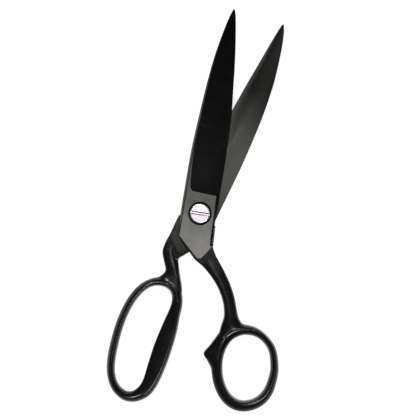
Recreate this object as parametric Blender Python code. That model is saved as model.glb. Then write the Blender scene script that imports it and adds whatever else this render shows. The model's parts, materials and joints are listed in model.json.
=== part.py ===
"""Left-handed fabric shears with bent handles, an assembly of separate pieces.

Both halves are drawn the same way up, in a "half frame": outer face up, pivot at the
origin, blade along +Y, spine on the left.  The upper half is used as drawn and hangs on an
empty on the pivot axis.  The lower half is the same drawing turned over about Y.
Driving sizes are in millimetres; MM turns them into metres.
"""

import math

import bmesh
import bpy
from mathutils import Vector
from mathutils.geometry import interpolate_bezier

MM = 0.001

# ---- the stack on the pivot axis, heights above the resting plane -------------------------
BOW_THICKNESS = 12.0        # the bows lie on the resting plane
JOINT_HEIGHT = BOW_THICKNESS / 2    # plane where the two inner faces meet
BLADE_GAP = 0.3             # between the two inner faces
SEAT_GAP = 0.2              # between pieces that are clamped or cast together
RUNNING_GAP = 0.05          # round the screw's shoulder
CUTTER_REACH = 20.0         # cutters run on this far past a piece

# ---- blades ------------------------------------------------------------------------------
BLADE_REACH = 129.0         # pivot to tip
SPINE_OFFSET = 12.0         # pivot to the back of the blade
EDGE_OFFSET = 10.2          # pivot to the cutting edge
RICASSO_THICKNESS = 3.9
TIP_THICKNESS = 1.5
EDGE_THICKNESS = 0.45
BEVEL_START = 13.4          # pivot to the foot of the ground bevel
SPINE_STRIP = 3.7           # flat strip left along the back, with its chamfer
SPINE_CHAMFER = 1.8
STRIP_TAPER = 0.85          # share of the strip's width lost by the tip
CHAMFER_TAPER = 0.7         # share of the chamfer lost by the tip
HOLLOW_DEPTH = 0.25         # hollow grinding of the inner face
HOLLOW_WIDTH = 10.0         # blades narrower than this are hollowed less
HOLLOW_SHARES = (0.0, 0.1, 0.3, 0.5, 0.7, 0.9, 1.0)
BEVEL_RISE = 0.1            # length of the slope at the foot of the bevel
SHIELD_POINT = (4.2, -28.6)     # pointed foot of the bare steel
SHIELD_LEFT = -15.8         # height of the shield's left corner
SHIELD_TAPER = 1.7          # how far that corner stands in from the back
SHIELD_RIGHT = -19.0        # height of its right corner
SHIELD_FLARE = 0.6          # how far that corner stands out from the cutting edge's line
SHIELD_WAIST = -12.0        # height where the right side is narrowest
WAIST_FLARE = 0.2
SHIELD_SHOULDER = -3.0      # height where the right side meets the cutting edge's line
BACK_SLOPE_TOP = -0.7       # height where the left side's taper starts
NOSE_LEFT = (0.14, 0.05)    # shares of the way from the point, rounding it
NOSE_RIGHT = (0.08, 0.22)
NOSE_BLUNT = 0.5
BLANK_SPARE = 2.0           # steel beyond the shield before it is cut to its outline
TANG_WIDTH = 5.0
TANG_THICKNESS = 2.2

# share of the reach, share of the offset; the two blades are ground a little differently
UPPER_BACK = [(0.0, 1.0), (0.25, 1.0), (0.35, 0.967), (0.48, 0.883), (0.64, 0.75),
              (0.76, 0.605), (0.86, 0.42), (0.96, 0.185), (1.0, 0.04)]
UPPER_EDGE = [(0.0, 1.0), (0.25, 1.0), (0.38, 0.97), (0.505, 0.90), (0.61, 0.765),
              (0.77, 0.55), (0.905, 0.304), (0.98, 0.13), (1.0, 0.04)]
LOWER_BACK = [(0.0, 0.885), (0.20, 0.967), (0.33, 1.0), (0.48, 0.985), (0.58, 0.94),
              (0.70, 0.825), (0.77, 0.71), (0.89, 0.445), (0.965, 0.215), (1.0, 0.05)]
LOWER_EDGE = [(0.0, 1.0), (0.25, 1.0), (0.38, 0.93), (0.51, 0.76), (0.69, 0.53),
              (0.73, 0.47), (0.915, 0.205), (0.98, 0.09), (1.0, 0.03)]
UPPER_HIP = 0.0             # extra width of the casting's side beside the shield
LOWER_HIP = 0.9
HIP_AT_PIVOT = 0.9          # share of the hip at the pivot's height

# ---- handles -----------------------------------------------------------------------------
BOW_EDGE = 3.2              # height of the rounded inner and outer edges of a bow
BOW_FULLNESS = (1.15, 1.9)  # inner and outer flank; 1 is flat and 2 elliptical
SHANK_FULLNESS = (2.0, 2.0)
RIDGE_SHARES = (0.0, 0.35, 0.7, 1.0)    # of the way from the hole to the ridge
FLANK_SHARES = (0.4, 0.75, 0.93, 1.0)   # of the way from the ridge outward
RIM = 0.75                  # casting round the shield
COLLAR_TOP = -6.0           # height where the collar ends beside the shield
COLLAR_DROP = 0.05          # collar's face below the blade's
THUMB_COLLAR_FOOT = (-2.6, -0.3)    # shield's point to the collar's lowest corner
FINGER_COLLAR_FOOT = (-4.0, -1.4)
STEP_DISTANCE = 22.7        # pivot to the step that the other half's shield closes against
STEP_ANGLE = -49.4          # direction of that step's normal, degrees
NEST_REACH = 40.0           # the nest's cutter reaches this far from the pivot
NEST_ENDS = (32.0, -18.0)   # ends of the step, along it
BOW_STEPS = 72
CURVE_STEPS = 24            # pieces between two points of a hole's outline
SHANK_STEPS = 2             # sections of a shank for each point of its edges

THUMB_HOLE_TOP = (44.3, -69.65)
THUMB_WIDTH = 29.8
THUMB_LENGTH = 41.1
FINGER_HOLE_TOP = (3.3, -50.8)
FINGER_WIDTH = 24.8
FINGER_LENGTH = 69.0

# a hole's outline: shares of its half width and half length, clockwise from the top
THUMB_HOLE = [(0.02, 1.0), (0.45, 0.89), (0.80, 0.63), (0.98, 0.21), (1.0, -0.13),
              (0.86, -0.58), (0.52, -0.88), (0.0, -1.0), (-0.47, -0.85), (-0.84, -0.46),
              (-1.0, 0.0), (-0.98, 0.41), (-0.79, 0.74), (-0.45, 0.94)]
FINGER_HOLE = [(-0.14, 1.0), (0.38, 0.94), (0.73, 0.78), (0.94, 0.53), (1.0, 0.24),
               (0.94, -0.08), (0.71, -0.51), (0.43, -0.78), (0.01, -0.95), (-0.48, -1.0),
               (-0.83, -0.92), (-1.0, -0.72), (-0.90, -0.37), (-0.80, 0.0), (-0.78, 0.39),
               (-0.77, 0.75), (-0.56, 0.94)]

# share of the way round, wall, distance of the ridge from the hole
THUMB_WALL = [(0.0, 5.6, 3.9), (0.0625, 4.7, 3.4), (0.125, 4.8, 3.0), (0.25, 5.3, 2.8),
              (0.375, 6.3, 2.2), (0.5, 6.8, 1.5), (0.625, 7.0, 1.5), (0.69, 6.9, 1.9),
              (0.72, 7.4, 2.4), (0.75, 9.8, 2.9), (0.766, 11.9, 3.1), (0.776, 12.7, 3.2),
              (0.787, 12.1, 3.4), (0.8125, 10.2, 3.8), (0.845, 9.2, 4.4), (0.88, 9.3, 4.8),
              (0.92, 8.9, 4.5), (0.96, 6.6, 4.1)]
FINGER_WALL = [(0.0, 6.0, 2.0), (0.05, 5.0, 1.7), (0.1, 5.1, 1.7), (0.25, 5.1, 1.9),
               (0.35, 5.2, 2.2), (0.45, 5.0, 2.6), (0.5, 5.4, 2.9), (0.525, 6.0, 3.3),
               (0.55, 7.2, 4.1), (0.575, 8.6, 5.6), (0.6, 9.3, 6.6), (0.65, 10.7, 8.4),
               (0.7, 11.4, 9.3), (0.75, 11.5, 9.5), (0.8, 10.9, 9.1), (0.85, 9.6, 7.8),
               (0.9, 7.7, 5.8), (0.95, 6.6, 3.4)]

# shank edges, drawn from just below the collar to the bow
THUMB_SHANK_LEFT = [(6.4, -31.7), (13.4, -37.7), (19.0, -44.4), (23.3, -52.5),
                    (25.3, -60.4), (25.2, -65.0), (28.0, -69.5)]
THUMB_SHANK_RIGHT = [(14.1, -24.3), (21.2, -33.2), (26.1, -40.6),
                     (29.9, -48.0), (33.2, -57.0), (35.8, -61.9), (41.0, -66.5)]
FINGER_SHANK_LEFT = [(0.9, -31.8), (-0.4, -34.0), (-2.6, -37.8), (-4.9, -41.4),
                     (-7.4, -45.2), (-9.6, -49.0)]
FINGER_SHANK_RIGHT = [(12.5, -24.0), (12.2, -30.7), (9.0, -35.8),
                      (5.6, -40.7), (6.2, -43.9), (9.5, -49.6)]
THUMB_RIDGE = [0.5, 0.42, 0.35, 0.33, 0.33, 0.36, 0.4, 0.5]
FINGER_RIDGE = [0.5, 0.6, 0.3, 0.25, 0.22, 0.18, 0.15]
SHANK_HEIGHTS = [0.65, 0.685, 0.75, 0.815, 0.867, 0.9, 0.917, 0.933]     # of the joint height
SHANK_ROUND = 0.9           # rounding of the shank's edges at the collar
SHANK_ROUNDING = 0.7        # how much it grows from point to point
TANG_START = (5.0, -22.0)
THUMB_TANG_END = (15.8, -34.6)
FINGER_TANG_END = (5.6, -35.0)

# ---- pivot hardware ----------------------------------------------------------------------
HEAD_DIAMETER = 12.5
HEAD_HEIGHT = 2.2
HEAD_CHAMFER = 0.7
HEAD_CROWN = 0.1
SLOT_WIDTH = 1.4
SLOT_DEPTH = 1.1
SHOULDER_DIAMETER = 7.2
THREAD_DIAMETER = 5.8
HEAD_WASHER_LIP = 0.25      # washers stand out from under the head by this much
COUNTERBORE_CLEARANCE = 0.5
COUNTERBORE_DEPTH = 1.5
HEAD_WASHER_THICKNESS = 0.6
BACK_WASHER_THICKNESS = 0.7
NUT_HEIGHT = 2.4
NUT_ACROSS_FLATS = 10.0
THREAD_CLEARANCE = 0.1      # round the threaded end, in the washer and the lower blade
ROUND_STEPS = 48
SHARP_ANGLE = 30.0          # edges flatter than this, in degrees, are shaded round

REST_OPENING = 14.2         # angle between the two halves' frames at rest, degrees

# ---- heights worked out from the above, relative to the joint plane ------------------------
INNER_FACE = BLADE_GAP / 2
OUTER_FACE = INNER_FACE + RICASSO_THICKNESS
BACK_SEAT_DEPTH = (OUTER_FACE - JOINT_HEIGHT + NUT_HEIGHT + BACK_WASHER_THICKNESS
                   + 2 * SEAT_GAP)
WASHER_DIAMETER = HEAD_DIAMETER + 2 * HEAD_WASHER_LIP
COUNTERBORE_DIAMETER = WASHER_DIAMETER + 2 * COUNTERBORE_CLEARANCE


# ---- small helpers -----------------------------------------------------------------------

def clear_scene():
    """Remove whatever the file holds."""
    for thing in list(bpy.data.objects):
        bpy.data.objects.remove(thing)


def material(name, colour, roughness, metallic):
    """One Principled finish."""
    finish = bpy.data.materials.new(name)
    finish.use_nodes = True
    shader = finish.node_tree.nodes["Principled BSDF"]
    shader.inputs["Base Color"].default_value = (*colour, 1.0)
    shader.inputs["Roughness"].default_value = roughness
    shader.inputs["Metallic"].default_value = metallic
    return finish


def spline(points, steps, closed=False):
    """A smooth curve through 2-D points: Bezier spans with Catmull-Rom handles."""
    count = len(points)
    vectors = [Vector(point) for point in points]
    spans = count if closed else count - 1
    result = []
    for index in range(spans):
        start = vectors[index]
        end = vectors[(index + 1) % count]
        before = vectors[index - 1] if closed or index > 0 else start
        after = vectors[(index + 2) % count] if closed or index + 2 < count else end
        knots = (start, start + (end - before) / 6, end - (after - start) / 6, end)
        result += interpolate_bezier(*[knot.to_3d() for knot in knots], steps + 1)[:-1]
    if not closed:
        result.append(vectors[-1].to_3d())
    return [point.to_2d() for point in result]


def read_table(table, share, column):
    """Read one column of a closed table at a share of the way round, smoothly."""
    rows = [(table[-1][0] - 1, *table[-1][1:])] + table + [(1.0, *table[0][1:])]
    for low, high in zip(rows, rows[1:]):
        if low[0] <= share <= high[0]:
            way = (share - low[0]) / (high[0] - low[0])
            way = way * way * (3 - 2 * way) * 0.5 + way * 0.5
            return low[column] + (high[column] - low[column]) * way
    raise ValueError(share)


def new_object(name, mesh, finish):
    """Link a mesh under a name, with its finish."""
    item = bpy.data.objects.new(name, mesh)
    bpy.context.scene.collection.objects.link(item)
    if finish:
        item.data.materials.append(finish)
    return item


def mesh_from(builder, name):
    """Turn a bmesh drawn in millimetres into a mesh in metres, faces outward."""
    bmesh.ops.recalc_face_normals(builder, faces=builder.faces)
    bmesh.ops.scale(builder, vec=(MM, MM, MM), verts=builder.verts)
    mesh = bpy.data.meshes.new(name)
    builder.to_mesh(mesh)
    builder.free()
    mesh.shade_smooth()
    mesh.set_sharp_from_angle(angle=math.radians(SHARP_ANGLE))
    return mesh


def loop_of(builder, points):
    """A closed loop of edges through 3-D points."""
    verts = [builder.verts.new(point) for point in points]
    return [builder.edges.new((verts[i - 1], verts[i])) for i in range(len(verts))]


def loft(name, sections, closed):
    """Bridge a row of closed sections, and cap the ends of an open row."""
    builder = bmesh.new()
    loops = [loop_of(builder, section) for section in sections]
    for index in range(len(loops) - (0 if closed else 1)):
        following = loops[(index + 1) % len(loops)]
        bmesh.ops.bridge_loops(builder, edges=loops[index] + following)
    if not closed:
        for end in (loops[0], loops[-1]):
            bmesh.ops.contextual_create(builder, geom=end)
    bmesh.ops.triangulate(builder, faces=builder.faces)
    return mesh_from(builder, name)


def prism(name, outline, low, high):
    """An upright slab with a 2-D outline."""
    builder = bmesh.new()
    face = builder.faces.new([builder.verts.new((x, y, low)) for x, y in outline])
    grown = bmesh.ops.extrude_face_region(builder, geom=[face])
    raised = [item for item in grown["geom"] if isinstance(item, bmesh.types.BMVert)]
    bmesh.ops.translate(builder, vec=(0, 0, high - low), verts=raised)
    return mesh_from(builder, name)


def turned(name, profile, steps=ROUND_STEPS):
    """Spin a closed (radius, height) profile about the pivot axis."""
    builder = bmesh.new()
    edges = loop_of(builder, [(radius, 0, height) for radius, height in profile])
    verts = list({vert for edge in edges for vert in edge.verts})
    bmesh.ops.spin(builder, geom=verts + edges, cent=(0, 0, 0), axis=(0, 0, 1),
                   angle=math.tau, steps=steps, use_merge=True)
    bmesh.ops.remove_doubles(builder, verts=builder.verts, dist=0.001)
    return mesh_from(builder, name)


def combine(base, other, operation):
    """Join or cut a piece with a guide."""
    modifier = base.modifiers.new(other.name, "BOOLEAN")
    modifier.operation = operation
    modifier.solver = "EXACT"
    modifier.object = other


def guide(name, mesh):
    """A hidden solid that cuts or adds to a piece."""
    item = new_object(name, mesh, None)
    item.hide_render = True
    item.display_type = "WIRE"
    return item


def direction(angle):
    """Unit vector at an angle in degrees."""
    return Vector((math.cos(math.radians(angle)), math.sin(math.radians(angle))))


def drill(name, diameter):
    """A guide for a round hole on the pivot axis."""
    profile = [(0.0, -CUTTER_REACH), (diameter / 2, -CUTTER_REACH),
               (diameter / 2, CUTTER_REACH), (0.0, CUTTER_REACH)]
    return guide(name, turned(name, profile))


# ---- blades ------------------------------------------------------------------------------

def curve_at(curve, share):
    """Straight-line reading of a blade curve, flat before its first point."""
    if share <= curve[0][0]:
        return curve[0][1]
    for low, high in zip(curve, curve[1:]):
        if share <= high[0]:
            way = (share - low[0]) / (high[0] - low[0])
            return low[1] + (high[1] - low[1]) * way
    return curve[-1][1]


def cross_section(height, left, right, edge, thick, strip, chamfer, hollow):
    """Section of a blade: hollow inner face, cutting edge, bevel, flat strip, chamfer."""
    width = right - left
    floor = [(left + width * way, INNER_FACE + hollow * 4 * way * (1 - way))
             for way in HOLLOW_SHARES]
    upper = [(right, INNER_FACE + edge), (left + strip, INNER_FACE + thick),
             (left + chamfer, INNER_FACE + thick), (left, INNER_FACE + thick - chamfer)]
    return [(x, height, z) for x, z in floor + upper]


def ground_section(height, back_curve, edge_curve):
    """Section of the ground blade at a distance from the pivot."""
    share = height / BLADE_REACH
    left = -SPINE_OFFSET * curve_at(back_curve, share)
    right = EDGE_OFFSET * curve_at(edge_curve, share)
    run = max(0.0, (height - BEVEL_START) / (BLADE_REACH - BEVEL_START))
    thick = RICASSO_THICKNESS + (TIP_THICKNESS - RICASSO_THICKNESS) * run
    width = right - left
    strip = min(SPINE_STRIP * (1 - STRIP_TAPER * run), 0.45 * width)
    chamfer = min(SPINE_CHAMFER * (1 - CHAMFER_TAPER * run), 0.5 * strip, 0.6 * thick)
    hollow = min(HOLLOW_DEPTH, 0.15 * thick) * min(1.0, width / HOLLOW_WIDTH)
    return cross_section(height, left, right, EDGE_THICKNESS, thick, strip, chamfer, hollow)


def ricasso_section(height, left, right):
    """Full section of the flat part round the pivot."""
    return cross_section(height, left, right, RICASSO_THICKNESS, RICASSO_THICKNESS,
                         SPINE_STRIP, SPINE_CHAMFER, 0.0)


def blade_sections(back_curve, edge_curve, hip):
    """Every section from below the shield to the tip."""
    back_pivot = -SPINE_OFFSET * curve_at(back_curve, 0.0)
    back_top = -SPINE_OFFSET * curve_at(back_curve, BEVEL_START / BLADE_REACH)
    spare = EDGE_OFFSET + hip + BLANK_SPARE
    sections = [ricasso_section(SHIELD_POINT[1] - BLANK_SPARE, back_pivot, spare),
                ricasso_section(COLLAR_TOP, back_pivot, spare),
                ricasso_section(0.0, back_pivot, EDGE_OFFSET + hip * HIP_AT_PIVOT),
                ricasso_section(BEVEL_START - BEVEL_RISE, back_top, EDGE_OFFSET)]
    shares = sorted({share for share, _ in back_curve + edge_curve})
    stations = [BLADE_REACH * share for share in shares]
    stations = [BEVEL_START] + [height for height in stations if height > BEVEL_START + 1]
    return sections + [ground_section(height, back_curve, edge_curve) for height in stations]


def shield_outline(grow, back_curve, hip, top):
    """Outline that the foot of the steel is cut to, grown sideways by a gap."""
    back = -SPINE_OFFSET * curve_at(back_curve, 0.0) - grow
    corner_left = Vector((back + SHIELD_TAPER, SHIELD_LEFT - grow * 0.5))
    corner_right = Vector((EDGE_OFFSET + SHIELD_FLARE + hip * 0.5 + grow,
                           SHIELD_RIGHT - grow * 0.5))
    foot = Vector(SHIELD_POINT) + Vector((0, -grow * 1.4))
    blunt = Vector((0, NOSE_BLUNT))
    nose = [foot.lerp(corner_left, NOSE_LEFT[0]), foot.lerp(corner_left, NOSE_LEFT[1]) + blunt,
            foot.lerp(corner_right, NOSE_RIGHT[0]) + blunt,
            foot.lerp(corner_right, NOSE_RIGHT[1])]
    slope = SHIELD_TAPER / (BACK_SLOPE_TOP - SHIELD_LEFT)
    side = EDGE_OFFSET + hip + grow
    return [(back - slope * (top - BACK_SLOPE_TOP), top), tuple(corner_left),
            *[tuple(point) for point in nose], tuple(corner_right),
            (side + WAIST_FLARE - hip * 0.2, SHIELD_WAIST), (side, SHIELD_SHOULDER),
            (side + BLANK_SPARE * 3, top)]


def tang_outline(end, grow):
    """The tongue of the blade that the handle is cast round."""
    start = Vector(TANG_START)
    along = (Vector(end) - start).normalized()
    side = Vector((-along.y, along.x)) * (TANG_WIDTH / 2 + grow)
    tip = Vector(end) + along * grow
    return [tuple(start + side), tuple(start - side), tuple(tip - side), tuple(tip + side)]


def tang_heights(grow):
    """Lower and upper face of the tang, relative to the joint plane."""
    middle = (INNER_FACE + OUTER_FACE) / 2
    return middle - TANG_THICKNESS / 2 - grow, middle + TANG_THICKNESS / 2 + grow


def blade(name, curves, tang_end, bore_diameter, seat_depth, finish):
    """One blade: ground blade, ricasso with its pointed shield, tang and pivot hole."""
    item = new_object(name, loft(name, blade_sections(*curves), False), finish)
    back_curve, _, hip = curves
    outline = shield_outline(0.0, back_curve, hip, BLADE_REACH + CUTTER_REACH)
    foot = prism(name, outline, -CUTTER_REACH, CUTTER_REACH)
    combine(item, guide(name + "_foot", foot), "INTERSECT")
    tang = guide(name + "_tang", prism(name, tang_outline(tang_end, 0.0), *tang_heights(0.0)))
    combine(item, tang, "UNION")
    combine(item, drill(name + "_bore", bore_diameter), "DIFFERENCE")
    radius = COUNTERBORE_DIAMETER / 2
    seat = [(0.0, OUTER_FACE - seat_depth), (radius, OUTER_FACE - seat_depth),
            (radius, CUTTER_REACH), (0.0, CUTTER_REACH)]
    combine(item, guide(name + "_seat", turned(name + "_seat", seat)), "DIFFERENCE")
    return item


# ---- handles -----------------------------------------------------------------------------

def section_between(inner, outer, ridge, height, edge, fullness):
    """Closed section over a line: rounded edges, a ridge above and below, mirrored.

    ridge is the share of the way from inner to outer; fullness is how round the flanks
    are on the inner and the outer side, 1 for flat and 2 for elliptical.
    """
    shares = [ridge * part for part in RIDGE_SHARES]
    shares += [ridge + (1 - ridge) * part for part in FLANK_SHARES]
    crown = []
    for share in shares:
        if share <= ridge:
            rise = (1 - (1 - share / ridge) ** fullness[0]) ** (1 / fullness[0])
        else:
            away = min(1.0, (share - ridge) / (1 - ridge))
            rise = (1 - away ** fullness[1]) ** (1 / fullness[1])
        spot = inner.lerp(outer, share)
        crown.append((spot.x, spot.y, edge + (height - edge) * rise))
    return crown + [(x, y, -z) for x, y, z in reversed(crown)]


def hole_curve(top, width, length, shape):
    """Points and outward directions round a finger hole that hangs from its top."""
    middle = top[1] - length / 2
    knots = [(top[0] + x * width / 2, middle + y * length / 2) for x, y in shape]
    dense = spline(knots, CURVE_STEPS, closed=True)
    lengths = [0.0]
    for here, there in zip(dense, dense[1:] + dense[:1]):
        lengths.append(lengths[-1] + (there - here).length)
    result = []
    for step in range(BOW_STEPS):
        target = lengths[-1] * step / BOW_STEPS
        index = max(i for i, reached in enumerate(lengths[:-1]) if reached <= target)
        ahead = dense[(index + 1) % len(dense)]
        along = (ahead - dense[index]).normalized()
        spot = dense[index] + along * (target - lengths[index])
        result.append((spot, Vector((-along.y, along.x))))
    return result


def bow(name, curve, wall_table):
    """The ring round a hole, with its ridge and any horn that its wall draws."""
    sections = []
    for step, (spot, outward) in enumerate(curve):
        share = step / BOW_STEPS
        wall = read_table(wall_table, share, 1)
        ridge = read_table(wall_table, share, 2) / wall
        sections.append(section_between(spot, spot + outward * wall, ridge,
                                        BOW_THICKNESS / 2, BOW_EDGE / 2, BOW_FULLNESS))
    return loft(name, sections, True)


def shank(name, left, right, ridges):
    """The bar between the collar and the bow."""
    edges = zip(spline(left, SHANK_STEPS), spline(right, SHANK_STEPS))
    sections = []
    for index, (near, far) in enumerate(edges):
        place = index / SHANK_STEPS
        whole = min(int(place), len(ridges) - 2)
        ridge = ridges[whole] + (ridges[whole + 1] - ridges[whole]) * (place - whole)
        tall = SHANK_HEIGHTS[whole]
        tall += (SHANK_HEIGHTS[whole + 1] - tall) * (place - whole)
        height = tall * JOINT_HEIGHT
        if place <= 1:
            height = max(height, OUTER_FACE - 2 * COLLAR_DROP)
        edge = max(height - SHANK_ROUND - place * SHANK_ROUNDING, BOW_EDGE / 2)
        sections.append(section_between(near, far, ridge, height, edge, SHANK_FULLNESS))
    return loft(name, sections, False)


def collar_outline(left, right, shield):
    """The thin rim of casting round the shield, down to the shank."""
    corner, side, shoulder = Vector(shield[1]), shield[7], shield[8]
    return [tuple(corner + Vector((0.4, 1.6))), tuple(corner), tuple(left[0]), tuple(left[1]),
            tuple(right[2]), tuple(right[1]), tuple(right[0]), side,
            (shoulder[0] - 0.15, COLLAR_TOP), (shoulder[0] - 1.2, COLLAR_TOP)]


def nest_outline():
    """Everything on the pivot's side of the step."""
    normal = direction(STEP_ANGLE)
    along = Vector((-normal.y, normal.x))
    foot = normal * STEP_DISTANCE
    high, low = (tuple(foot + along * end) for end in NEST_ENDS)
    return [high, low, (-NEST_REACH, -NEST_REACH), (-NEST_REACH, NEST_REACH),
            (NEST_REACH, NEST_REACH)]


def handle(name, hole, wall_table, edges, ridges, collar_foot, curves, tang_end, finish):
    """One handle: bow, shank and collar in one casting, with the seat for the blade."""
    back_curve, _, hip = curves
    item = new_object(name, bow(name, hole_curve(*hole), wall_table), finish)
    shield = shield_outline(RIM, back_curve, hip, BEVEL_START)
    left = [Vector(SHIELD_POINT) + Vector(collar_foot)] + [Vector(spot) for spot in edges[0]]
    right = [Vector(shield[6]) - Vector((0.0, RIM))] + [Vector(spot) for spot in edges[1]]
    combine(item, guide(name + "_shank", shank(name, left, right, ridges)), "UNION")
    collar = prism(name, collar_outline(left, right, shield), INNER_FACE,
                   OUTER_FACE - COLLAR_DROP)
    combine(item, guide(name + "_collar", collar), "UNION")
    nest = prism(name, nest_outline(), -CUTTER_REACH, INNER_FACE)
    combine(item, guide(name + "_nest", nest), "DIFFERENCE")
    pocket = shield_outline(SEAT_GAP, back_curve, hip, BEVEL_START)
    seat = prism(name, pocket, INNER_FACE - SEAT_GAP, CUTTER_REACH)
    combine(item, guide(name + "_seat", seat), "DIFFERENCE")
    slot = prism(name, tang_outline(tang_end, SEAT_GAP), *tang_heights(SEAT_GAP))
    combine(item, guide(name + "_slot", slot), "DIFFERENCE")
    return item


# ---- pivot hardware ----------------------------------------------------------------------

def washer(name, inner, outer, low, thick, finish):
    """A flat ring on the pivot axis."""
    profile = [(inner / 2, low), (outer / 2, low), (outer / 2, low + thick),
               (inner / 2, low + thick)]
    return new_object(name, turned(name, profile), finish)


def pivot_screw(finish):
    """Slotted head, shoulder that the upper blade turns on, and threaded end."""
    head_low = OUTER_FACE - COUNTERBORE_DEPTH + HEAD_WASHER_THICKNESS + 2 * SEAT_GAP
    head_high = head_low + HEAD_HEIGHT
    head = HEAD_DIAMETER / 2
    shoulder = SHOULDER_DIAMETER / 2
    thread = THREAD_DIAMETER / 2
    step = -INNER_FACE + SEAT_GAP
    profile = [(0.0, -JOINT_HEIGHT), (thread, -JOINT_HEIGHT), (thread, step),
               (shoulder, step), (shoulder, head_low), (head, head_low),
               (head, head_high - HEAD_CHAMFER),
               (head - HEAD_CHAMFER, head_high - HEAD_CROWN), (0.0, head_high)]
    item = new_object("pivot_screw", turned("pivot_screw", profile), finish)
    along = direction(REST_OPENING) * (head + RUNNING_GAP)
    side = direction(REST_OPENING + 90) * SLOT_WIDTH / 2
    outline = [tuple(spot) for spot in (along + side, side - along, -along - side, along - side)]
    slot = prism("driver_slot", outline, head_high - SLOT_DEPTH, CUTTER_REACH)
    combine(item, guide("driver_slot", slot), "DIFFERENCE")
    return item


def lock_nut(finish):
    """Thin hexagon nut on the back, flush with the end of the screw."""
    corner = NUT_ACROSS_FLATS / 2 / math.cos(math.pi / 6)
    outline = [tuple(direction(360 / 6 * index) * corner) for index in range(6)]
    low = -JOINT_HEIGHT
    item = new_object("lock_nut", prism("lock_nut", outline, low, low + NUT_HEIGHT), finish)
    combine(item, drill("nut_thread", THREAD_DIAMETER + 2 * RUNNING_GAP), "DIFFERENCE")
    return item


# ---- assembly ----------------------------------------------------------------------------

def build():
    """Make every piece and hang it in its place."""
    clear_scene()
    blade_steel = material("ground_steel", (0.19, 0.19, 0.18), 0.38, 1.0)
    enamel = material("black_enamel", (0.012, 0.012, 0.012), 0.25, 0.0)
    chrome = material("bright_chrome", (0.86, 0.85, 0.88), 0.12, 1.0)
    spring_steel = material("dark_spring_steel", (0.05, 0.05, 0.05), 0.4, 1.0)
    zinc = material("plated_steel", (0.55, 0.55, 0.56), 0.3, 1.0)

    running = SHOULDER_DIAMETER + 2 * RUNNING_GAP
    threaded = THREAD_DIAMETER + 2 * THREAD_CLEARANCE
    upper = (UPPER_BACK, UPPER_EDGE, UPPER_HIP)
    lower = (LOWER_BACK, LOWER_EDGE, LOWER_HIP)
    upper_blade = blade("upper_blade", upper, THUMB_TANG_END, running, COUNTERBORE_DEPTH,
                        blade_steel)
    lower_blade = blade("lower_blade", lower, FINGER_TANG_END, threaded, BACK_SEAT_DEPTH,
                        blade_steel)
    upper_handle = handle("upper_handle",
                          (THUMB_HOLE_TOP, THUMB_WIDTH, THUMB_LENGTH, THUMB_HOLE), THUMB_WALL,
                          (THUMB_SHANK_LEFT, THUMB_SHANK_RIGHT), THUMB_RIDGE,
                          THUMB_COLLAR_FOOT, upper, THUMB_TANG_END, enamel)
    lower_handle = handle("lower_handle",
                          (FINGER_HOLE_TOP, FINGER_WIDTH, FINGER_LENGTH, FINGER_HOLE),
                          FINGER_WALL, (FINGER_SHANK_LEFT, FINGER_SHANK_RIGHT), FINGER_RIDGE,
                          FINGER_COLLAR_FOOT, lower, FINGER_TANG_END, enamel)
    screw = pivot_screw(chrome)
    head_washer = washer("head_washer", running, WASHER_DIAMETER,
                         OUTER_FACE - COUNTERBORE_DEPTH + SEAT_GAP, HEAD_WASHER_THICKNESS,
                         spring_steel)
    back_washer = washer("back_washer", threaded, WASHER_DIAMETER,
                         -JOINT_HEIGHT + NUT_HEIGHT + SEAT_GAP, BACK_WASHER_THICKNESS, zinc)
    nut = lock_nut(zinc)

    pivot = bpy.data.objects.new("pivot", None)
    bpy.context.scene.collection.objects.link(pivot)
    pivot.location = (0, 0, JOINT_HEIGHT * MM)
    pivot.rotation_euler = (0, 0, math.radians(REST_OPENING))
    for piece in (upper_blade, upper_handle):
        adopt(piece, pivot)
    for piece in (lower_blade, lower_handle):
        turn_over(piece)
    for piece in (screw, head_washer, back_washer, nut):
        piece.location = (0, 0, JOINT_HEIGHT * MM)


def cutters_of(piece):
    """The guides that shape a piece."""
    return [modifier.object for modifier in piece.modifiers]


def adopt(piece, parent):
    """Hang a piece and its guides on an empty."""
    for item in [piece] + cutters_of(piece):
        item.parent = parent


def turn_over(piece):
    """Turn a piece and its guides over about Y, inner face up."""
    for item in [piece] + cutters_of(piece):
        item.location = (0, 0, JOINT_HEIGHT * MM)
        item.rotation_euler = (0, math.pi, 0)


build()
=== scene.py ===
"""Looks of a pair of left-handed fabric shears with bent handles.

Each half is modelled in a "half frame" in millimetres: outer face up, pivot at the origin,
blade along +Y, back on the left.  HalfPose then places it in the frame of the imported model.
"""
import json
import logging
import math
from dataclasses import dataclass, field
from enum import Enum
from typing import Any, Iterable, Sequence

import bmesh
import bpy
from mathutils import Matrix, Vector
from mathutils.geometry import interpolate_bezier


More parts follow.
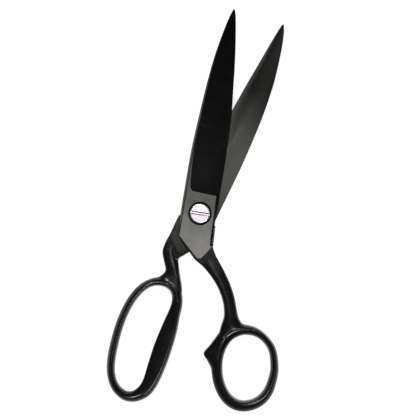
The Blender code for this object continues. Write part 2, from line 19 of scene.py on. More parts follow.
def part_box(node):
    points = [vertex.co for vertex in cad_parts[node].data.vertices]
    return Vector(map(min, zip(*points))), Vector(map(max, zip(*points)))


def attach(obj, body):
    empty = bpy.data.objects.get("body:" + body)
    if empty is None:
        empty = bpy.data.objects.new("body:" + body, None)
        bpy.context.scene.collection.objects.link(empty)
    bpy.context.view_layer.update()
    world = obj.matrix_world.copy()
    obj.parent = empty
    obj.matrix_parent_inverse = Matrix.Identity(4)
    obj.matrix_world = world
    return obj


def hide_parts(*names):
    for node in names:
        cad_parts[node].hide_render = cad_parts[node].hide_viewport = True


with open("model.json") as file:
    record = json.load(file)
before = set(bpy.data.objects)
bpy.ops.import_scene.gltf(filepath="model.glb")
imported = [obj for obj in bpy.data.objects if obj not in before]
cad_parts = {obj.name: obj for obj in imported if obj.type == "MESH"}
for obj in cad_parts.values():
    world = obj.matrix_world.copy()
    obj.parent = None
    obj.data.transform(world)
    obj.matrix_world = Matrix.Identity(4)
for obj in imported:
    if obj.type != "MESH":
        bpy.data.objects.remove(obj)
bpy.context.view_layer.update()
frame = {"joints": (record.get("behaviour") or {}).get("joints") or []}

MM = 0.001
REST_OPENING = 14.2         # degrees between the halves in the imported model
CORNER_STEPS = 8            # straight pieces round a small corner
FLANK_STEPS = (7, 8)        # pieces of a bar's section before and after its ridge
FAR = 20.0                  # cutters reach this far past a surface, in mm
MERGE = 0.0005              # points closer than this become one, in mm
FACING_DOWN = -0.7          # a plate's faces below this slope are its inner face
FACING_UP = 0.98            # and those above this one are its flat top
TANG_ROOT = (5.0, -22.0)    # a tang starts here, inside the shield
NOISE = (0.3, 0.7)          # a noise pattern mostly lies between these
BACK_OFFSET = 12.0          # pivot to the back where a blade is widest, in mm
EDGE_OFFSET = 10.2          # pivot to the cutting edge there, in mm
HONE_AND_SHEEN = "hone_and_sheen"           # blade attribute: brightness of the real honed land, widened into a painted sheen on the hollow, per point
LOG = logging.getLogger("shears")

Point = Sequence[float]
Table = Sequence[Sequence[float]]
Item = bpy.types.Object
Material = bpy.types.Material
Socket = bpy.types.NodeSocket
Builder = bmesh.types.BMesh


class Surface(Enum):
    """Which surface of a blade a face belongs to; the value is its material slot."""

    SATIN = 0
    BEVEL = 1
    INNER = 2
    SPINE = 3
    SIDE = 4


# ---- curves and meshes ----


def spline(points: Sequence[Point], steps: int, closed: bool = False) -> list[Vector]:
    """Draw a smooth curve through 2-D points.

    Args:
        points: the points the curve passes.
        steps: pieces between two points.
        closed: whether the curve returns to its start.

    Returns:
        The curve's points, without a repeat of the first.
    """
    vectors = [Vector(point) for point in points]
    count = len(vectors)
    result: list[Vector] = []
    for index in range(count if closed else count - 1):
        start, end = vectors[index], vectors[(index + 1) % count]
        before = vectors[index - 1] if closed or index > 0 else start
        after = vectors[(index + 2) % count] if closed or index + 2 < count else end
        knots = (start, start + (end - before) / 6, end - (after - start) / 6, end)
        result += interpolate_bezier(*[knot.to_3d() for knot in knots], steps + 1)[:-1]
    if not closed:
        result.append(vectors[-1].to_3d())
    return [point.to_2d() for point in result]


def read_table(table: Table, share: float, column: int, closed: bool = False) -> float:
    """Read a column of a table at a share, on a smooth curve through its rows.

    Args:
        table: rows that start with a rising share.
        share: where to read.
        column: which column to read.
        closed: whether the last row leads back to the first, one turn on.

    Returns:
        The value there.
    """
    rows = list(table)
    if closed:
        ahead = [(row[0] + 1, *row[1:]) for row in rows[:2]]
        behind = [(row[0] - 1, *row[1:]) for row in rows[-2:]]
        rows = behind + rows + ahead
    index = max((i for i, row in enumerate(rows[:-1]) if row[0] <= share), default=0)
    low, high = rows[index], rows[index + 1]
    before, after = rows[max(index - 1, 0)], rows[min(index + 2, len(rows) - 1)]
    span = high[0] - low[0]
    way = min(1.0, max(0.0, (share - low[0]) / span))
    rise = high[column] - low[column]
    start = slope(before, high, column) * span if index else rise
    end = slope(low, after, column) * span if index + 2 < len(rows) else rise
    bend = way * way * (3 - 2 * way)
    return (low[column] + rise * bend + start * way * (1 - way) ** 2
            - end * way * way * (1 - way))


def line_at(table: Table, place: float) -> float:
    """Read a table along straight lines between its rows.

    Args:
        table: (place, value) rows with rising places.
        place: where to read.

    Returns:
        The value there; the end values hold beyond the ends.
    """
    for low, high in zip(table, table[1:]):
        if place <= high[0]:
            way = max(0.0, (place - low[0]) / (high[0] - low[0]))
            return low[1] + (high[1] - low[1]) * way
    return table[-1][1]


def slope(low: Sequence[float], high: Sequence[float], column: int) -> float:
    """Rise per share between two rows of a table."""
    return (high[column] - low[column]) / (high[0] - low[0])


def rounded(corner: Vector, before: Vector, after: Vector, radius: float) -> list[Vector]:
    """Round one corner of an outline.

    Args:
        corner: the sharp corner.
        before: the outline's point before it.
        after: the outline's point after it.
        radius: the round's radius.

    Returns:
        Points that take the corner's place.
    """
    back, ahead = (before - corner).normalized(), (after - corner).normalized()
    half = back.angle(ahead) / 2
    inset = radius / math.tan(half)
    start, end = corner + back * inset, corner + ahead * inset
    centre = corner + (back + ahead).normalized() * (radius / math.sin(half))
    spots = [start.lerp(end, step / CORNER_STEPS) for step in range(CORNER_STEPS + 1)]
    return [centre + (spot - centre).normalized() * radius for spot in spots]


def loop_of(builder: Builder, points: Iterable[Point]) -> list[bmesh.types.BMEdge]:
    """Add a closed loop of edges through 3-D points."""
    verts = [builder.verts.new(point) for point in points]
    return [builder.edges.new((verts[i - 1], verts[i])) for i in range(len(verts))]


def add_loft(builder: Builder, sections: Sequence[Sequence[Point]],
             closed: bool = False) -> None:
    """Bridge a row of closed sections, and cap the ends of an open row.

    Args:
        builder: what to add to.
        sections: rows of 3-D points, all with the same count.
        closed: whether the last section leads back to the first.
    """
    loops = [loop_of(builder, section) for section in sections]
    pairs = zip(loops, loops[1:] + loops[:1]) if closed else zip(loops, loops[1:])
    for here, there in pairs:
        bmesh.ops.bridge_loops(builder, edges=here + there)
    if not closed:
        for end in (loops[0], loops[-1]):
            bmesh.ops.contextual_create(builder, geom=end)


def add_prism(builder: Builder, outline: Iterable[Point], low: float,
              high: float) -> None:
    """Add an upright slab.

    Args:
        builder: what to add to.
        outline: its corners in plan.
        low: height of its underside.
        high: height of its top.
    """
    face = builder.faces.new([builder.verts.new((x, y, low)) for x, y in outline])
    grown = bmesh.ops.extrude_face_region(builder, geom=[face])
    raised = [item for item in grown["geom"] if isinstance(item, bmesh.types.BMVert)]
    bmesh.ops.translate(builder, vec=(0, 0, high - low), verts=raised)


def add_turned(builder: Builder, profile: Iterable[Point], steps: int) -> None:
    """Spin a profile round the pivot axis.

    Args:
        builder: what to add to.
        profile: closed row of (radius, height) points.
        steps: facets round the turn.
    """
    edges = loop_of(builder, [(radius, 0, height) for radius, height in profile])
    verts = list({vert for edge in edges for vert in edge.verts})
    bmesh.ops.spin(builder, geom=verts + edges, cent=(0, 0, 0), axis=(0, 0, 1),
                   angle=math.tau, steps=steps, use_merge=True)
    bmesh.ops.remove_doubles(builder, verts=builder.verts, dist=MERGE)


def new_piece(name: str, builder: Builder,
              finishes: Sequence[Material] = ()) -> Item:
    """Turn a bmesh into a linked object, faces outward.

    Args:
        name: the object's name.
        builder: the shape; it is freed.
        finishes: materials, one per slot.

    Returns:
        The object, at the origin.
    """
    bmesh.ops.recalc_face_normals(builder, faces=builder.faces)
    mesh = bpy.data.meshes.new(name)
    builder.to_mesh(mesh)
    builder.free()
    for finish in finishes:
        mesh.materials.append(finish)
    item = bpy.data.objects.new(name, mesh)
    bpy.context.scene.collection.objects.link(item)
    return item


def settle(item: Item) -> None:
    """Bake modifiers into the mesh.

    Args:
        item: the object, which loses its modifiers.
    """
    bpy.context.view_layer.update()
    graph = bpy.context.evaluated_depsgraph_get()
    mesh = bpy.data.meshes.new_from_object(item.evaluated_get(graph))
    item.modifiers.clear()
    item.data = mesh


def combine(item: Item, tool: Item, operation: str) -> None:
    """Join, cut or trim a piece with a tool.

    Args:
        item: the piece.
        tool: the other solid, which is used up.
        operation: UNION, DIFFERENCE or INTERSECT.
    """
    modifier = item.modifiers.new(operation, "BOOLEAN")
    modifier.operation = operation
    modifier.solver = "EXACT"
    modifier.object = tool
    settle(item)
    bpy.data.objects.remove(tool)


def soften(item: Item, width: float, angle: float, segments: int = 2,
           slot: int = -1) -> None:
    """Break the sharp edges of a piece with a small round.

    Args:
        item: the piece.
        width: the round's width, in the mesh's units.
        angle: edges sharper than this many degrees are rounded.
        segments: facets across the round.
        slot: material slot of the round; -1 takes the neighbouring face's.
    """
    modifier = item.modifiers.new("edge_break", "BEVEL")
    modifier.width = width
    modifier.segments = segments
    modifier.limit_method = "ANGLE"
    modifier.angle_limit = math.radians(angle)
    modifier.use_clamp_overlap = True
    modifier.material = slot
    settle(item)


def shade(item: Item, angle: float, machined: bool = False) -> None:
    """Shade smooth, with sharp edges kept crisp.

    Args:
        item: the piece.
        angle: edges sharper than this many degrees stay crisp.
        machined: whether large faces keep their own normals up to their borders.
    """
    item.data.shade_smooth()
    item.data.set_sharp_from_angle(angle=math.radians(angle))
    if machined:
        modifier = item.modifiers.new("face_normals", "WEIGHTED_NORMAL")
        modifier.keep_sharp = True
        settle(item)


# ---- materials ----


def srgb(code: str) -> tuple[float, float, float, float]:
    """Turn an sRGB hex colour to linear RGBA.

    Args:
        code: the colour, such as #7a7975.

    Returns:
        The four linear values.
    """
    parts = [int(code[i:i + 2], 16) / 255 for i in (1, 3, 5)]
    linear = [p / 12.92 if p <= 0.04045 else ((p + 0.055) / 1.055) ** 2.4 for p in parts]
    return (*linear, 1.0)


def add_node(tree: bpy.types.NodeTree, kind: str, values: dict[Any, Any] | None = None,
             links: dict[Any, Socket] | None = None,
             **settings: Any) -> bpy.types.Node:
    """Add a shader node.

    Args:
        tree: the node tree.
        kind: the node's type, without ShaderNode.
        values: input values, by input name or number.
        links: sockets that feed inputs, by input name or number.
        settings: the node's own properties.

    Returns:
        The node.
    """
    node = tree.nodes.new("ShaderNode" + kind)
    for name, value in settings.items():
        setattr(node, name, value)
    for name, value in (values or {}).items():
        node.inputs[name].default_value = value
    for name, socket in (links or {}).items():
        tree.links.new(socket, node.inputs[name])
    return node


def blank_material(name: str) -> tuple[Material, bpy.types.NodeTree, bpy.types.Node]:
    """Start a material with only its Principled shader and output.

    Args:
        name: the material's name.

    Returns:
        The material, its node tree and its shader.
    """
    material = bpy.data.materials.new(name)
    material.use_nodes = True
    tree = material.node_tree
    return material, tree, tree.nodes["Principled BSDF"]


def millimetres(tree: bpy.types.NodeTree, turn: float, size: Point) -> Socket:
    """Coordinates counted in pattern cells.

    Args:
        tree: the node tree.
        turn: how far the piece is turned about Z, in degrees, so that the pattern follows it.
        size: the pattern cell's size along each axis, in mm.

    Returns:
        The vector socket.
    """
    place = add_node(tree, "TexCoord")
    squared = add_node(tree, "Mapping", {"Rotation": (0, 0, -math.radians(turn))},
                       {"Vector": place.outputs["Object"]}, vector_type="POINT")
    cells = add_node(tree, "Mapping", {"Scale": [1 / (MM * side) for side in size]},
                     {"Vector": squared.outputs["Vector"]}, vector_type="POINT")
    return cells.outputs["Vector"]


def dress(material: Material, colours: tuple[str, str], share: Socket, haze: Socket,
          gloss: Sequence[float], marks: Socket, depth: float) -> Material:
    """Lead the patterns of a finish into its shader.

    Args:
        material: the material to complete.
        colours: the colours where the share is 0 and where it is 1.
        share: drives the colour.
        haze: drives the roughness, over the middle of its range.
        gloss: roughness where the haze is thin and where it is thick.
        marks: relief of the surface.
        depth: height of the relief, in mm.

    Returns:
        The same material.
    """
    tree = material.node_tree
    shader = tree.nodes["Principled BSDF"]
    colour = add_node(tree, "Mix", {6: srgb(colours[0]), 7: srgb(colours[1])}, {0: share},
                      data_type="RGBA")
    rough = add_node(tree, "MapRange", {1: NOISE[0], 2: NOISE[1], 3: gloss[0], 4: gloss[1]},
                     {0: haze})
    relief = add_node(tree, "Bump", {"Strength": 1.0, "Distance": depth * MM},
                      {"Height": marks})
    tree.links.new(colour.outputs[2], shader.inputs["Base Color"])
    tree.links.new(rough.outputs[0], shader.inputs["Roughness"])
    tree.links.new(relief.outputs[0], shader.inputs["Normal"])
    return material


@dataclass(frozen=True)
class GroundSteel:
    """Carbon steel with the straight marks of a grinding belt or wheel."""

    name: str
    light: str
    dark: str
    roughness: float
    grain: Point                # size of the marks along X, Y and Z, in mm
    grain_depth: float          # height of the marks, in mm
    patches: float              # how cloudy the colour is
    turn: float                 # how far the blade is turned about Z at rest, in degrees
    fade: Point                 # darkens between these distances from the pivot, in mm
    anisotropy: float = 0.3
    rise: Point = (-600.0, -500.0)      # painted shade: darker below these heights, lightening between them from its shaded share
    shaded_share: float = 0.30
    clouds: Point = (9.0, 16.0, 9.0)    # size of the cloudy patches, in mm
    spread: Point = (-0.05, 0.07)       # what the marks take from the roughness or add

    def material(self) -> Material:
        """Build the finish: streaks and cloudy patches drive colour, gloss and relief.

        Returns:
            The material.
        """
        material, tree, shader = blank_material(self.name)
        streaks = add_node(tree, "TexNoise", {"Scale": 1.0, "Detail": 6.0, "Roughness": 0.6},
                           {"Vector": millimetres(tree, self.turn, self.grain)})
        clouds = add_node(tree, "TexNoise", {"Scale": 1.0, "Detail": 3.0},
                          {"Vector": millimetres(tree, self.turn, self.clouds)})
        blend = add_node(tree, "Mix", {0: 0.5}, {2: streaks.outputs[0], 3: clouds.outputs[0]})
        patchy = add_node(tree, "MapRange", {1: NOISE[0], 2: NOISE[1], 3: -self.patches,
                                             4: self.patches}, {0: blend.outputs[0]})
        place = add_node(tree, "SeparateXYZ",
                         links={0: millimetres(tree, self.turn, (1.0, 1.0, 1.0))})
        # the colour fades along Y, and the rise span paints shade over the low end, down to the
        # shaded share
        faded, painted_shade_lift = [
            add_node(tree, "MapRange", {1: span[0], 2: span[1], 3: start, 4: end},
                     {0: place.outputs["Y"]}, interpolation_type="SMOOTHSTEP").outputs[0]
            for span, start, end in ((self.fade, 1.0, 0.0), (self.rise, self.shaded_share, 1.0))]
        # the honed band: the real honed land, widened into a painted sheen on the hollow
        hone_sheen_band = add_node(tree, "Attribute", attribute_name=HONE_AND_SHEEN)
        level = add_node(tree, "Math", {}, {0: faded, 1: painted_shade_lift}, operation="MULTIPLY")
        bright = add_node(tree, "Math", {}, {0: level.outputs[0], 1: patchy.outputs[0]},
                          operation="ADD")
        share = add_node(tree, "Math", {}, {0: bright.outputs[0], 1: hone_sheen_band.outputs["Fac"]},
                         operation="ADD", use_clamp=True)
        shader.inputs["Metallic"].default_value = 1.0
        shader.inputs["Anisotropic"].default_value = self.anisotropy
        return dress(material, (self.dark, self.light), share.outputs[0], blend.outputs[0],
                     [self.roughness + shift for shift in self.spread], streaks.outputs[0],
                     self.grain_depth)


@dataclass(frozen=True)
class BakedEnamel:
    """Black stoving enamel sprayed on cast iron: deep gloss with a faint orange peel."""

    name: str = "black_stoving_enamel"
    colour: str = "#060606"
    thin_colour: str = "#0a0907"
    roughness: float = 0.22
    peel: float = 1.6           # size of the orange peel, in mm
    peel_depth: float = 0.003   # its height, in mm
    patch: float = 14.0         # size of the thinner patches, in mm
    shine: float = 0.27
    spread: Point = (-0.05, 0.06)

    def material(self) -> Material:
        """Build the finish: noise gives the peel and slightly thinner, browner patches.

        Returns:
            The material.
        """
        material, tree, shader = blank_material(self.name)
        peel, patches = [
            add_node(tree, "TexNoise", {"Scale": 1.0, "Detail": detail},
                     {"Vector": millimetres(tree, 0.0, (size,) * 3)}).outputs[0]
            for size, detail in ((self.peel, 2.0), (self.patch, 4.0))]
        shader.inputs["Specular IOR Level"].default_value = self.shine
        return dress(material, (self.colour, self.thin_colour), patches, patches,
                     [self.roughness + shift for shift in self.spread], peel,
                     self.peel_depth)


@dataclass(frozen=True)
class TurnedPlate:
    """Plated steel turned on a lathe: fine rings round the pivot axis under a bright skin."""

    name: str
    light: str
    dark: str
    roughness: float
    ring: float = 0.22          # spacing of the tool marks, in mm
    ring_depth: float = 0.003   # their height, in mm
    patch: float = 1.8          # size of the handling haze, in mm
    spread: Point = (-0.04, 0.05)

    def material(self) -> Material:
        """Build the finish: rings for the lathe's marks, and noise for handling.

        Returns:
            The material.
        """
        material, tree, shader = blank_material(self.name)
        # the wave draws about three rings per cell, and the tall cell leaves out the height
        rings = add_node(tree, "TexWave", {"Scale": 1.0, "Distortion": 0.6, "Detail": 1.0},
                         {"Vector": millimetres(tree, 0.0, (self.ring * 3, self.ring * 3, 40.0))},
                         wave_type="RINGS", rings_direction="Z")
        haze = add_node(tree, "TexNoise", {"Scale": 1.0, "Detail": 5.0},
                        {"Vector": millimetres(tree, 0.0, (self.patch,) * 3)}).outputs[0]
        shader.inputs["Metallic"].default_value = 1.0
        return dress(material, (self.light, self.dark), haze, haze,
                     [self.roughness + shift for shift in self.spread], rings.outputs[0],
                     self.ring_depth)


def blade_finishes(turn: float) -> list[Material]:
    """The five finishes of a blade, in the order of Surface.

    Args:
        turn: how far the blade is turned about Z at rest, in degrees.

    Returns:
        One material per surface.
    """
    tag = "upper" if turn else "lower"
    # belt-ground and left bare: soft grey with fine marks along the blade
    satin = GroundSteel(f"{tag}_satin_ground_steel", "#676663", "#424240", 0.45,
                        (0.35, 3.0, 0.5), 0.0015, 0.3, turn, (-26.0, 14.0), 0.0)
    # chemically blackened before grinding: nearly black with a faint sheen
    bevel = GroundSteel(f"{tag}_blackened_bevel_steel", "#131313", "#0c0c0c", 0.40,
                        (6.0, 0.3, 0.6), 0.0002, 0.1, turn, (20.0, 110.0))
    # wheel-ground across the blade, lighter near the pivot and along the honed edge, whose band
    # is widened by a painted sheen; painted shade darkens it towards the handle
    inner = GroundSteel(f"{tag}_ground_inner_steel", "#3f3f3c", "#121211", 0.42,
                        (5.0, 0.4, 0.6), 0.0012, 0.1, turn, (28.0, 88.0), 0.3, (-14.0, 16.0))
    # the back's facet, brushed lengthwise and darker towards the tip
    spine = GroundSteel(f"{tag}_brushed_spine_steel", "#858581", "#272726", 0.40,
                        (0.5, 8.0, 0.5), 0.002, 0.12, turn, (44.0, 116.0))
    # chamfers and bores that still carry the blackening
    side = GroundSteel(f"{tag}_dark_side_steel", "#34342f", "#0e0e0d", 0.42,
                       (0.6, 4.0, 0.6), 0.002, 0.12, turn, (-3.0, 11.0))
    return [finish.material() for finish in (satin, bevel, inner, spine, side)]


# ---- the halves ----


@dataclass(frozen=True)
class HalfPose:
    """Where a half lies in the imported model."""

    body: str
    prefix: str
    turn: float             # opening at rest, in degrees about +Z
    flipped: bool           # turned over about Y
    height: float           # joint plane above the resting plane, in mm

    def matrix(self) -> Matrix:
        """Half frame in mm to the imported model's frame in metres.

        Returns:
            The transform.
        """
        lift = Matrix.Translation((0, 0, self.height * MM))
        turn = Matrix.Rotation(math.radians(self.turn), 4, "Z")
        flip = Matrix.Rotation(math.pi if self.flipped else 0.0, 4, "Y")
        return lift @ turn @ flip @ Matrix.Scale(MM, 4)

    def install(self, piece: Item, node: str) -> None:
        """Place a finished piece, give it its body and let it stand for its CAD node.

        Args:
            piece: the piece, in the half frame.
            node: the CAD node.
        """
        piece.data.transform(self.matrix())
        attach(piece, self.body)
        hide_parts(node)
        LOG.info("%s: %d faces, rides on %s", piece.name, len(piece.data.polygons), self.body)


@dataclass
class Stack:
    """Heights that both halves and the pivot share, relative to the joint plane, in mm."""

    gap: float = 0.3
    ricasso: float = 3.9
    seat_gap: float = 0.05
    counterbore_depth: float = 1.5
    counterbore: float = 14.0
    shoulder_hole: float = 7.3
    thread_hole: float = 6.0
    back_seat_depth: float = 1.55

    @property
    def inner(self) -> float:
        """Height of a half's inner face."""
        return self.gap / 2

    @property
    def outer(self) -> float:
        """Height of a half's outer face."""
        return self.gap / 2 + self.ricasso


@dataclass
class Shield:
    """Outline of the steel round the pivot, pointed at its foot, in mm."""

    back: float             # pivot to the back at the pivot's height
    hip: float              # extra width on the cutting side below the pivot
    edge: float = EDGE_OFFSET
    point: Point = (4.2, -28.6)
    point_drop: float = 0.45    # the sharp point lies this much lower than the rounded one
    left: float = -15.8
    right: float = -19.0
    right_width: Point = (0.6, 0.5)     # extra width there, and its share of the hip
    sides: Table = ((-12.0, 0.2, 0.8), (-3.0, 0.0, 1.0))    # height, extra, share of the hip
    taper: float = 1.7          # the back draws in by this, down to the left corner
    taper_top: float = -0.7
    radii: Point = (0.8, 2.6, 1.0)      # of the left corner, the point and the right one
    growth: Point = (0.5, 1.4)  # how far corners and point sink with 1 mm of gap
    flare: float = 6.0          # the outline runs this much wider at its top

    def outline(self, grow: float, top: float) -> list[Point]:
        """Points of the outline, from its wide upper left round the point.

        Args:
            grow: the gap that it is grown by.
            top: height where it ends.

        Returns:
            Its corners in plan.
        """
        back, sink = -self.back - grow, grow * self.growth[0]
        left = Vector((back + self.taper, self.left - sink))
        extra, share = self.right_width
        right = Vector((self.edge + extra + self.hip * share + grow, self.right - sink))
        foot = Vector(self.point) + Vector((0, -grow * self.growth[1] - self.point_drop))
        slant = self.taper / (self.taper_top - self.left)
        wide = Vector((back - slant * (top - self.taper_top), top))
        sides = [Vector((self.edge + extra + self.hip * share + grow, height))
                 for height, extra, share in self.sides]
        corners = [wide, *rounded(left, wide, foot, self.radii[0]),
                   *rounded(foot, left, right, self.radii[1]),
                   *rounded(right, foot, sides[0], self.radii[2]), *sides,
                   Vector((self.edge + self.hip + grow + self.flare, top))]
        return [tuple(corner) for corner in corners]


@dataclass
class Blade:
    """One blade: ground bevel, hollow inner face, shield round the pivot, and tang."""

    back_curve: Table
    edge_curve: Table
    shield: Shield
    tang_end: Point
    bore: float
    seat_depth: float
    stack: Stack = field(default_factory=Stack)
    reach: float = 129.0
    back_offset: float = BACK_OFFSET
    edge_offset: float = EDGE_OFFSET
    tip_thickness: float = 1.5
    edge_thickness: float = 0.4
    bevel_foot: float = 13.4        # height of the bevel's foot over the pivot
    foot_slope: float = -0.06       # the foot sinks a little towards the cutting edge
    foot_share: float = 0.5         # share of the sinking at its inner corner
    foot_lean: float = 0.13         # its left side leans towards the back
    corner_radius: float = 3.0
    strip_end: float = 60.0         # the flat is bright up to here, and blackened beyond
    strip_least: float = 0.03       # it is this much wider than the chamfer
    strip: Table = ((13.4, 3.6), (20.0, 2.75), (30.0, 2.1), (38.0, 1.7), (129.0, 0.3))
    chamfer: Table = ((0.0, 1.65), (60.0, 1.6), (100.0, 1.05), (129.0, 0.3))
    chamfer_most: float = 0.35      # of the blade's width
    chamfer_depth: float = 0.8      # of its own width
    line: float = 0.5               # dark line between the chamfer and the flat
    line_share: float = 0.9         # of the line that counts as dark
    line_most: float = 0.3          # of the chamfer's width
    hollow: float = 0.1
    hollow_most: float = 0.12       # of the thickness
    hollow_width: float = 10.0      # a narrower blade is less hollow
    hollow_start: float = 16.0
    hollow_run: float = 12.0        # it deepens over this length
    hollow_shares: Sequence[float] = (0.12, 0.3, 0.5, 0.7, 0.88)
    land: float = 2.0
    land_most: float = 0.2          # of the blade's width
    widening: Point = (0.5, 3.0)    # of the blank below the pivot, per mm and at most
    hone_sheen_band: float = 5.5              # width of the band: the real honed land, widened by a painted sheen
    hone_sheen_limit: Point = (0.6, 0.1)  # its limit: a share of the edge's offset, and a rest
    hone_and_sheen: float = 0.6             # how bright the band is at the edge, real honing and painted sheen together
    side_chamfer: Table = ((-19.0, 0.8), (-14.0, 1.2), (0.0, 1.6), (13.5, 2.0))
    tang_width: float = 5.0
    tang_thickness: float = 2.2
    ride_radius: float = 18.0       # edge of the polished ride round the pivot
    ride_line: float = 0.4          # its groove's width
    ride_depth: float = 0.15
    ride_top: float = -2.0          # the groove shows below this height
    ease: float = 0.35              # chamfer of the counterbore
    edge_break: float = 0.07
    break_angle: float = 28.0
    crisp_angle: float = 22.0
    margins: Point = (3.0, 4.0)     # a cutter runs past its slope by these
    least_run: float = 0.2
    ricasso_places: Sequence[float] = (-20.0, -12.0, -6.0, 0.0, 6.0)
    foot_margin: float = 4.0        # the blank starts this far below the shield's point
    tip_land: float = 0.35
    stations: int = 64
    bevel_steps: int = 48
    bore_steps: int = 96
    ride_steps: int = 128
    finishes: list[Material] = field(default_factory=list, init=False)

    def limits(self, height: float) -> tuple[float, float]:
        """How far the blade reaches to both sides.

        Args:
            height: distance from the pivot.

        Returns:
            Where the back is, and where the cutting edge is.
        """
        share = min(1.0, max(0.0, height / self.reach))
        return (-self.back_offset * read_table(self.back_curve, share, 1),
                self.edge_offset * read_table(self.edge_curve, share, 1))

    def ground(self, height: float) -> tuple[float, float, float]:
        """What grinding leaves of the blade.

        Args:
            height: distance from the pivot.

        Returns:
            Its thickness, and the widths of strip and chamfer.
        """
        back, edge = self.limits(height)
        run = max(0.0, (height - self.bevel_foot) / (self.reach - self.bevel_foot))
        thick = self.stack.ricasso + (self.tip_thickness - self.stack.ricasso) * run
        chamfer = min(line_at(self.chamfer, height), self.chamfer_most * (edge - back))
        return thick, max(line_at(self.strip, height), chamfer + self.strip_least), chamfer

    def section(self, height: float) -> list[Point]:
        """Full-thickness section of the plate, before the bevel is ground.

        Args:
            height: distance from the pivot.

        Returns:
            Points round it, along the inner face first.
        """
        back, edge = self.limits(height)
        if height < 0:
            edge += self.shield.hip + min(self.widening[1], -height * self.widening[0])
        thick, _, chamfer = self.ground(height)
        low, width = self.stack.inner, edge - back
        lip = min(self.land, self.land_most * width)
        line = min(self.line, self.line_most * chamfer)
        depth = min(self.hollow, self.hollow_most * thick) * min(1.0, width / self.hollow_width)
        depth *= min(1.0, max(0.0, (height - self.hollow_start) / self.hollow_run))
        points = [(back, low), (back + lip, low)]
        points += [(back + lip + (width - 2 * lip) * way, low + depth * 4 * way * (1 - way))
                   for way in self.hollow_shares]
        points += [(edge - lip, low), (edge, low), (edge, low + thick),
                   (back + chamfer, low + thick), (back + chamfer - line, low + thick - line),
                   (back, low + thick - chamfer * self.chamfer_depth)]
        return [(x, height, z) for x, z in points]

    def heights(self) -> list[float]:
        """Distances from the pivot at which the blade is sectioned.

        Returns:
            The distances, rising.
        """
        start = self.hollow_start
        near = [self.shield.point[1] - self.foot_margin, *self.ricasso_places,
                self.bevel_foot, start]
        far = [start + (self.reach - start) * (i / self.stations)
               for i in range(1, self.stations)]
        return near + far + [self.reach - self.tip_land, self.reach]

    def plate(self, name: str) -> Item:
        """The blank: full thickness, with each face marked with its surface.

        Args:
            name: the object's name.

        Returns:
            The blank.
        """
        builder = bmesh.new()
        add_loft(builder, [self.section(height) for height in self.heights()])
        bmesh.ops.recalc_face_normals(builder, faces=builder.faces)
        for face in builder.faces:
            spot = face.calc_center_median()
            chamfer = self.ground(spot.y)[2]
            kind = Surface.BEVEL
            if face.normal.z < FACING_DOWN:
                kind = Surface.INNER
            elif face.normal.z > FACING_UP:
                kind = Surface.SATIN if spot.y < self.strip_end else Surface.BEVEL
            elif spot.x - self.limits(spot.y)[0] < chamfer - self.line * self.line_share:
                kind = Surface.SPINE
            face.material_index = kind.value
        bmesh.ops.triangulate(builder, faces=builder.faces)
        return new_piece(name, builder, self.finishes)

    def tool(self, name: str, builder: Builder, surface: Surface) -> Item:
        """Turn a bmesh into a piece that shows one surface of the blade.

        Args:
            name: the object's name.
            builder: the shape; it is freed.
            surface: what all its faces show.

        Returns:
            The piece.
        """
        for face in builder.faces:
            face.material_index = surface.value
        return new_piece(name, builder, self.finishes)

    def wedge(self, name: str, slopes: Sequence[tuple[float, Vector, Vector]],
              surface: Surface) -> Item:
        """A cutter above a slope that runs along the blade.

        Args:
            name: the cutter's name.
            slopes: for each height its upper and lower (across, up) point.
            surface: what the cut leaves.

        Returns:
            The cutter.
        """
        sections = []
        for height, top, foot in slopes:
            along = (foot - top) / max(self.least_run, foot.x - top.x)
            left, right = top - along * self.margins[0], foot + along * self.margins[1]
            sections.append([(left.x, height, left.y), (right.x, height, right.y),
                             (right.x, height, FAR), (left.x, height, FAR)])
        builder = bmesh.new()
        add_loft(builder, sections)
        bmesh.ops.triangulate(builder, faces=builder.faces)
        return self.tool(name, builder, surface)

    def bevel_tool(self) -> Item:
        """The grinding wheel's path: slanting to the edge, with a rounded inner corner.

        Returns:
            The cutter.
        """
        slopes = []
        start, end = self.bevel_foot - self.margins[0], self.reach + self.margins[0]
        for index in range(self.bevel_steps + 1):
            height = start + (end - start) * index / self.bevel_steps
            back, edge = self.limits(max(height, self.bevel_foot))
            thick, strip, _ = self.ground(min(height, self.reach))
            slopes.append((height, Vector((back + strip, self.stack.inner + thick)),
                           Vector((edge, self.stack.inner + self.edge_thickness))))
        tool = self.wedge("bevel_tool", slopes, Surface.BEVEL)
        plan = bmesh.new()
        add_prism(plan, self.bevel_plan(), -FAR, 2 * FAR)
        combine(tool, self.tool("bevel_plan", plan, Surface.BEVEL), "INTERSECT")
        return tool

    def bevel_plan(self) -> list[Point]:
        """Outline of the bevel's foot and of everything beyond it.

        Returns:
            Its corners in plan.
        """
        inner = self.limits(self.bevel_foot)[0] + self.strip[0][1]
        wide, tall = 3 * FAR, self.reach + FAR
        left = Vector((inner, self.bevel_foot - self.foot_slope * inner * self.foot_share))
        right = Vector((wide, self.bevel_foot + self.foot_slope * wide))
        above = Vector((inner - self.foot_lean * (tall - self.bevel_foot), tall))
        corner = rounded(left, above, right, self.corner_radius)
        return [tuple(spot) for spot in (above, *corner, right, (wide, tall + 1))]

    def side_tool(self) -> Item:
        """Chamfer down the cutting side of the ricasso.

        Returns:
            The cutter.
        """
        slopes = []
        top = self.stack.outer
        for height, width in self.side_chamfer:
            edge = self.limits(height)[1] + (self.shield.hip if height < 0 else 0.0)
            slopes.append((height, Vector((edge - width, top)),
                           Vector((edge, top - width * self.chamfer_depth))))
        return self.wedge("side_tool", slopes, Surface.SIDE)

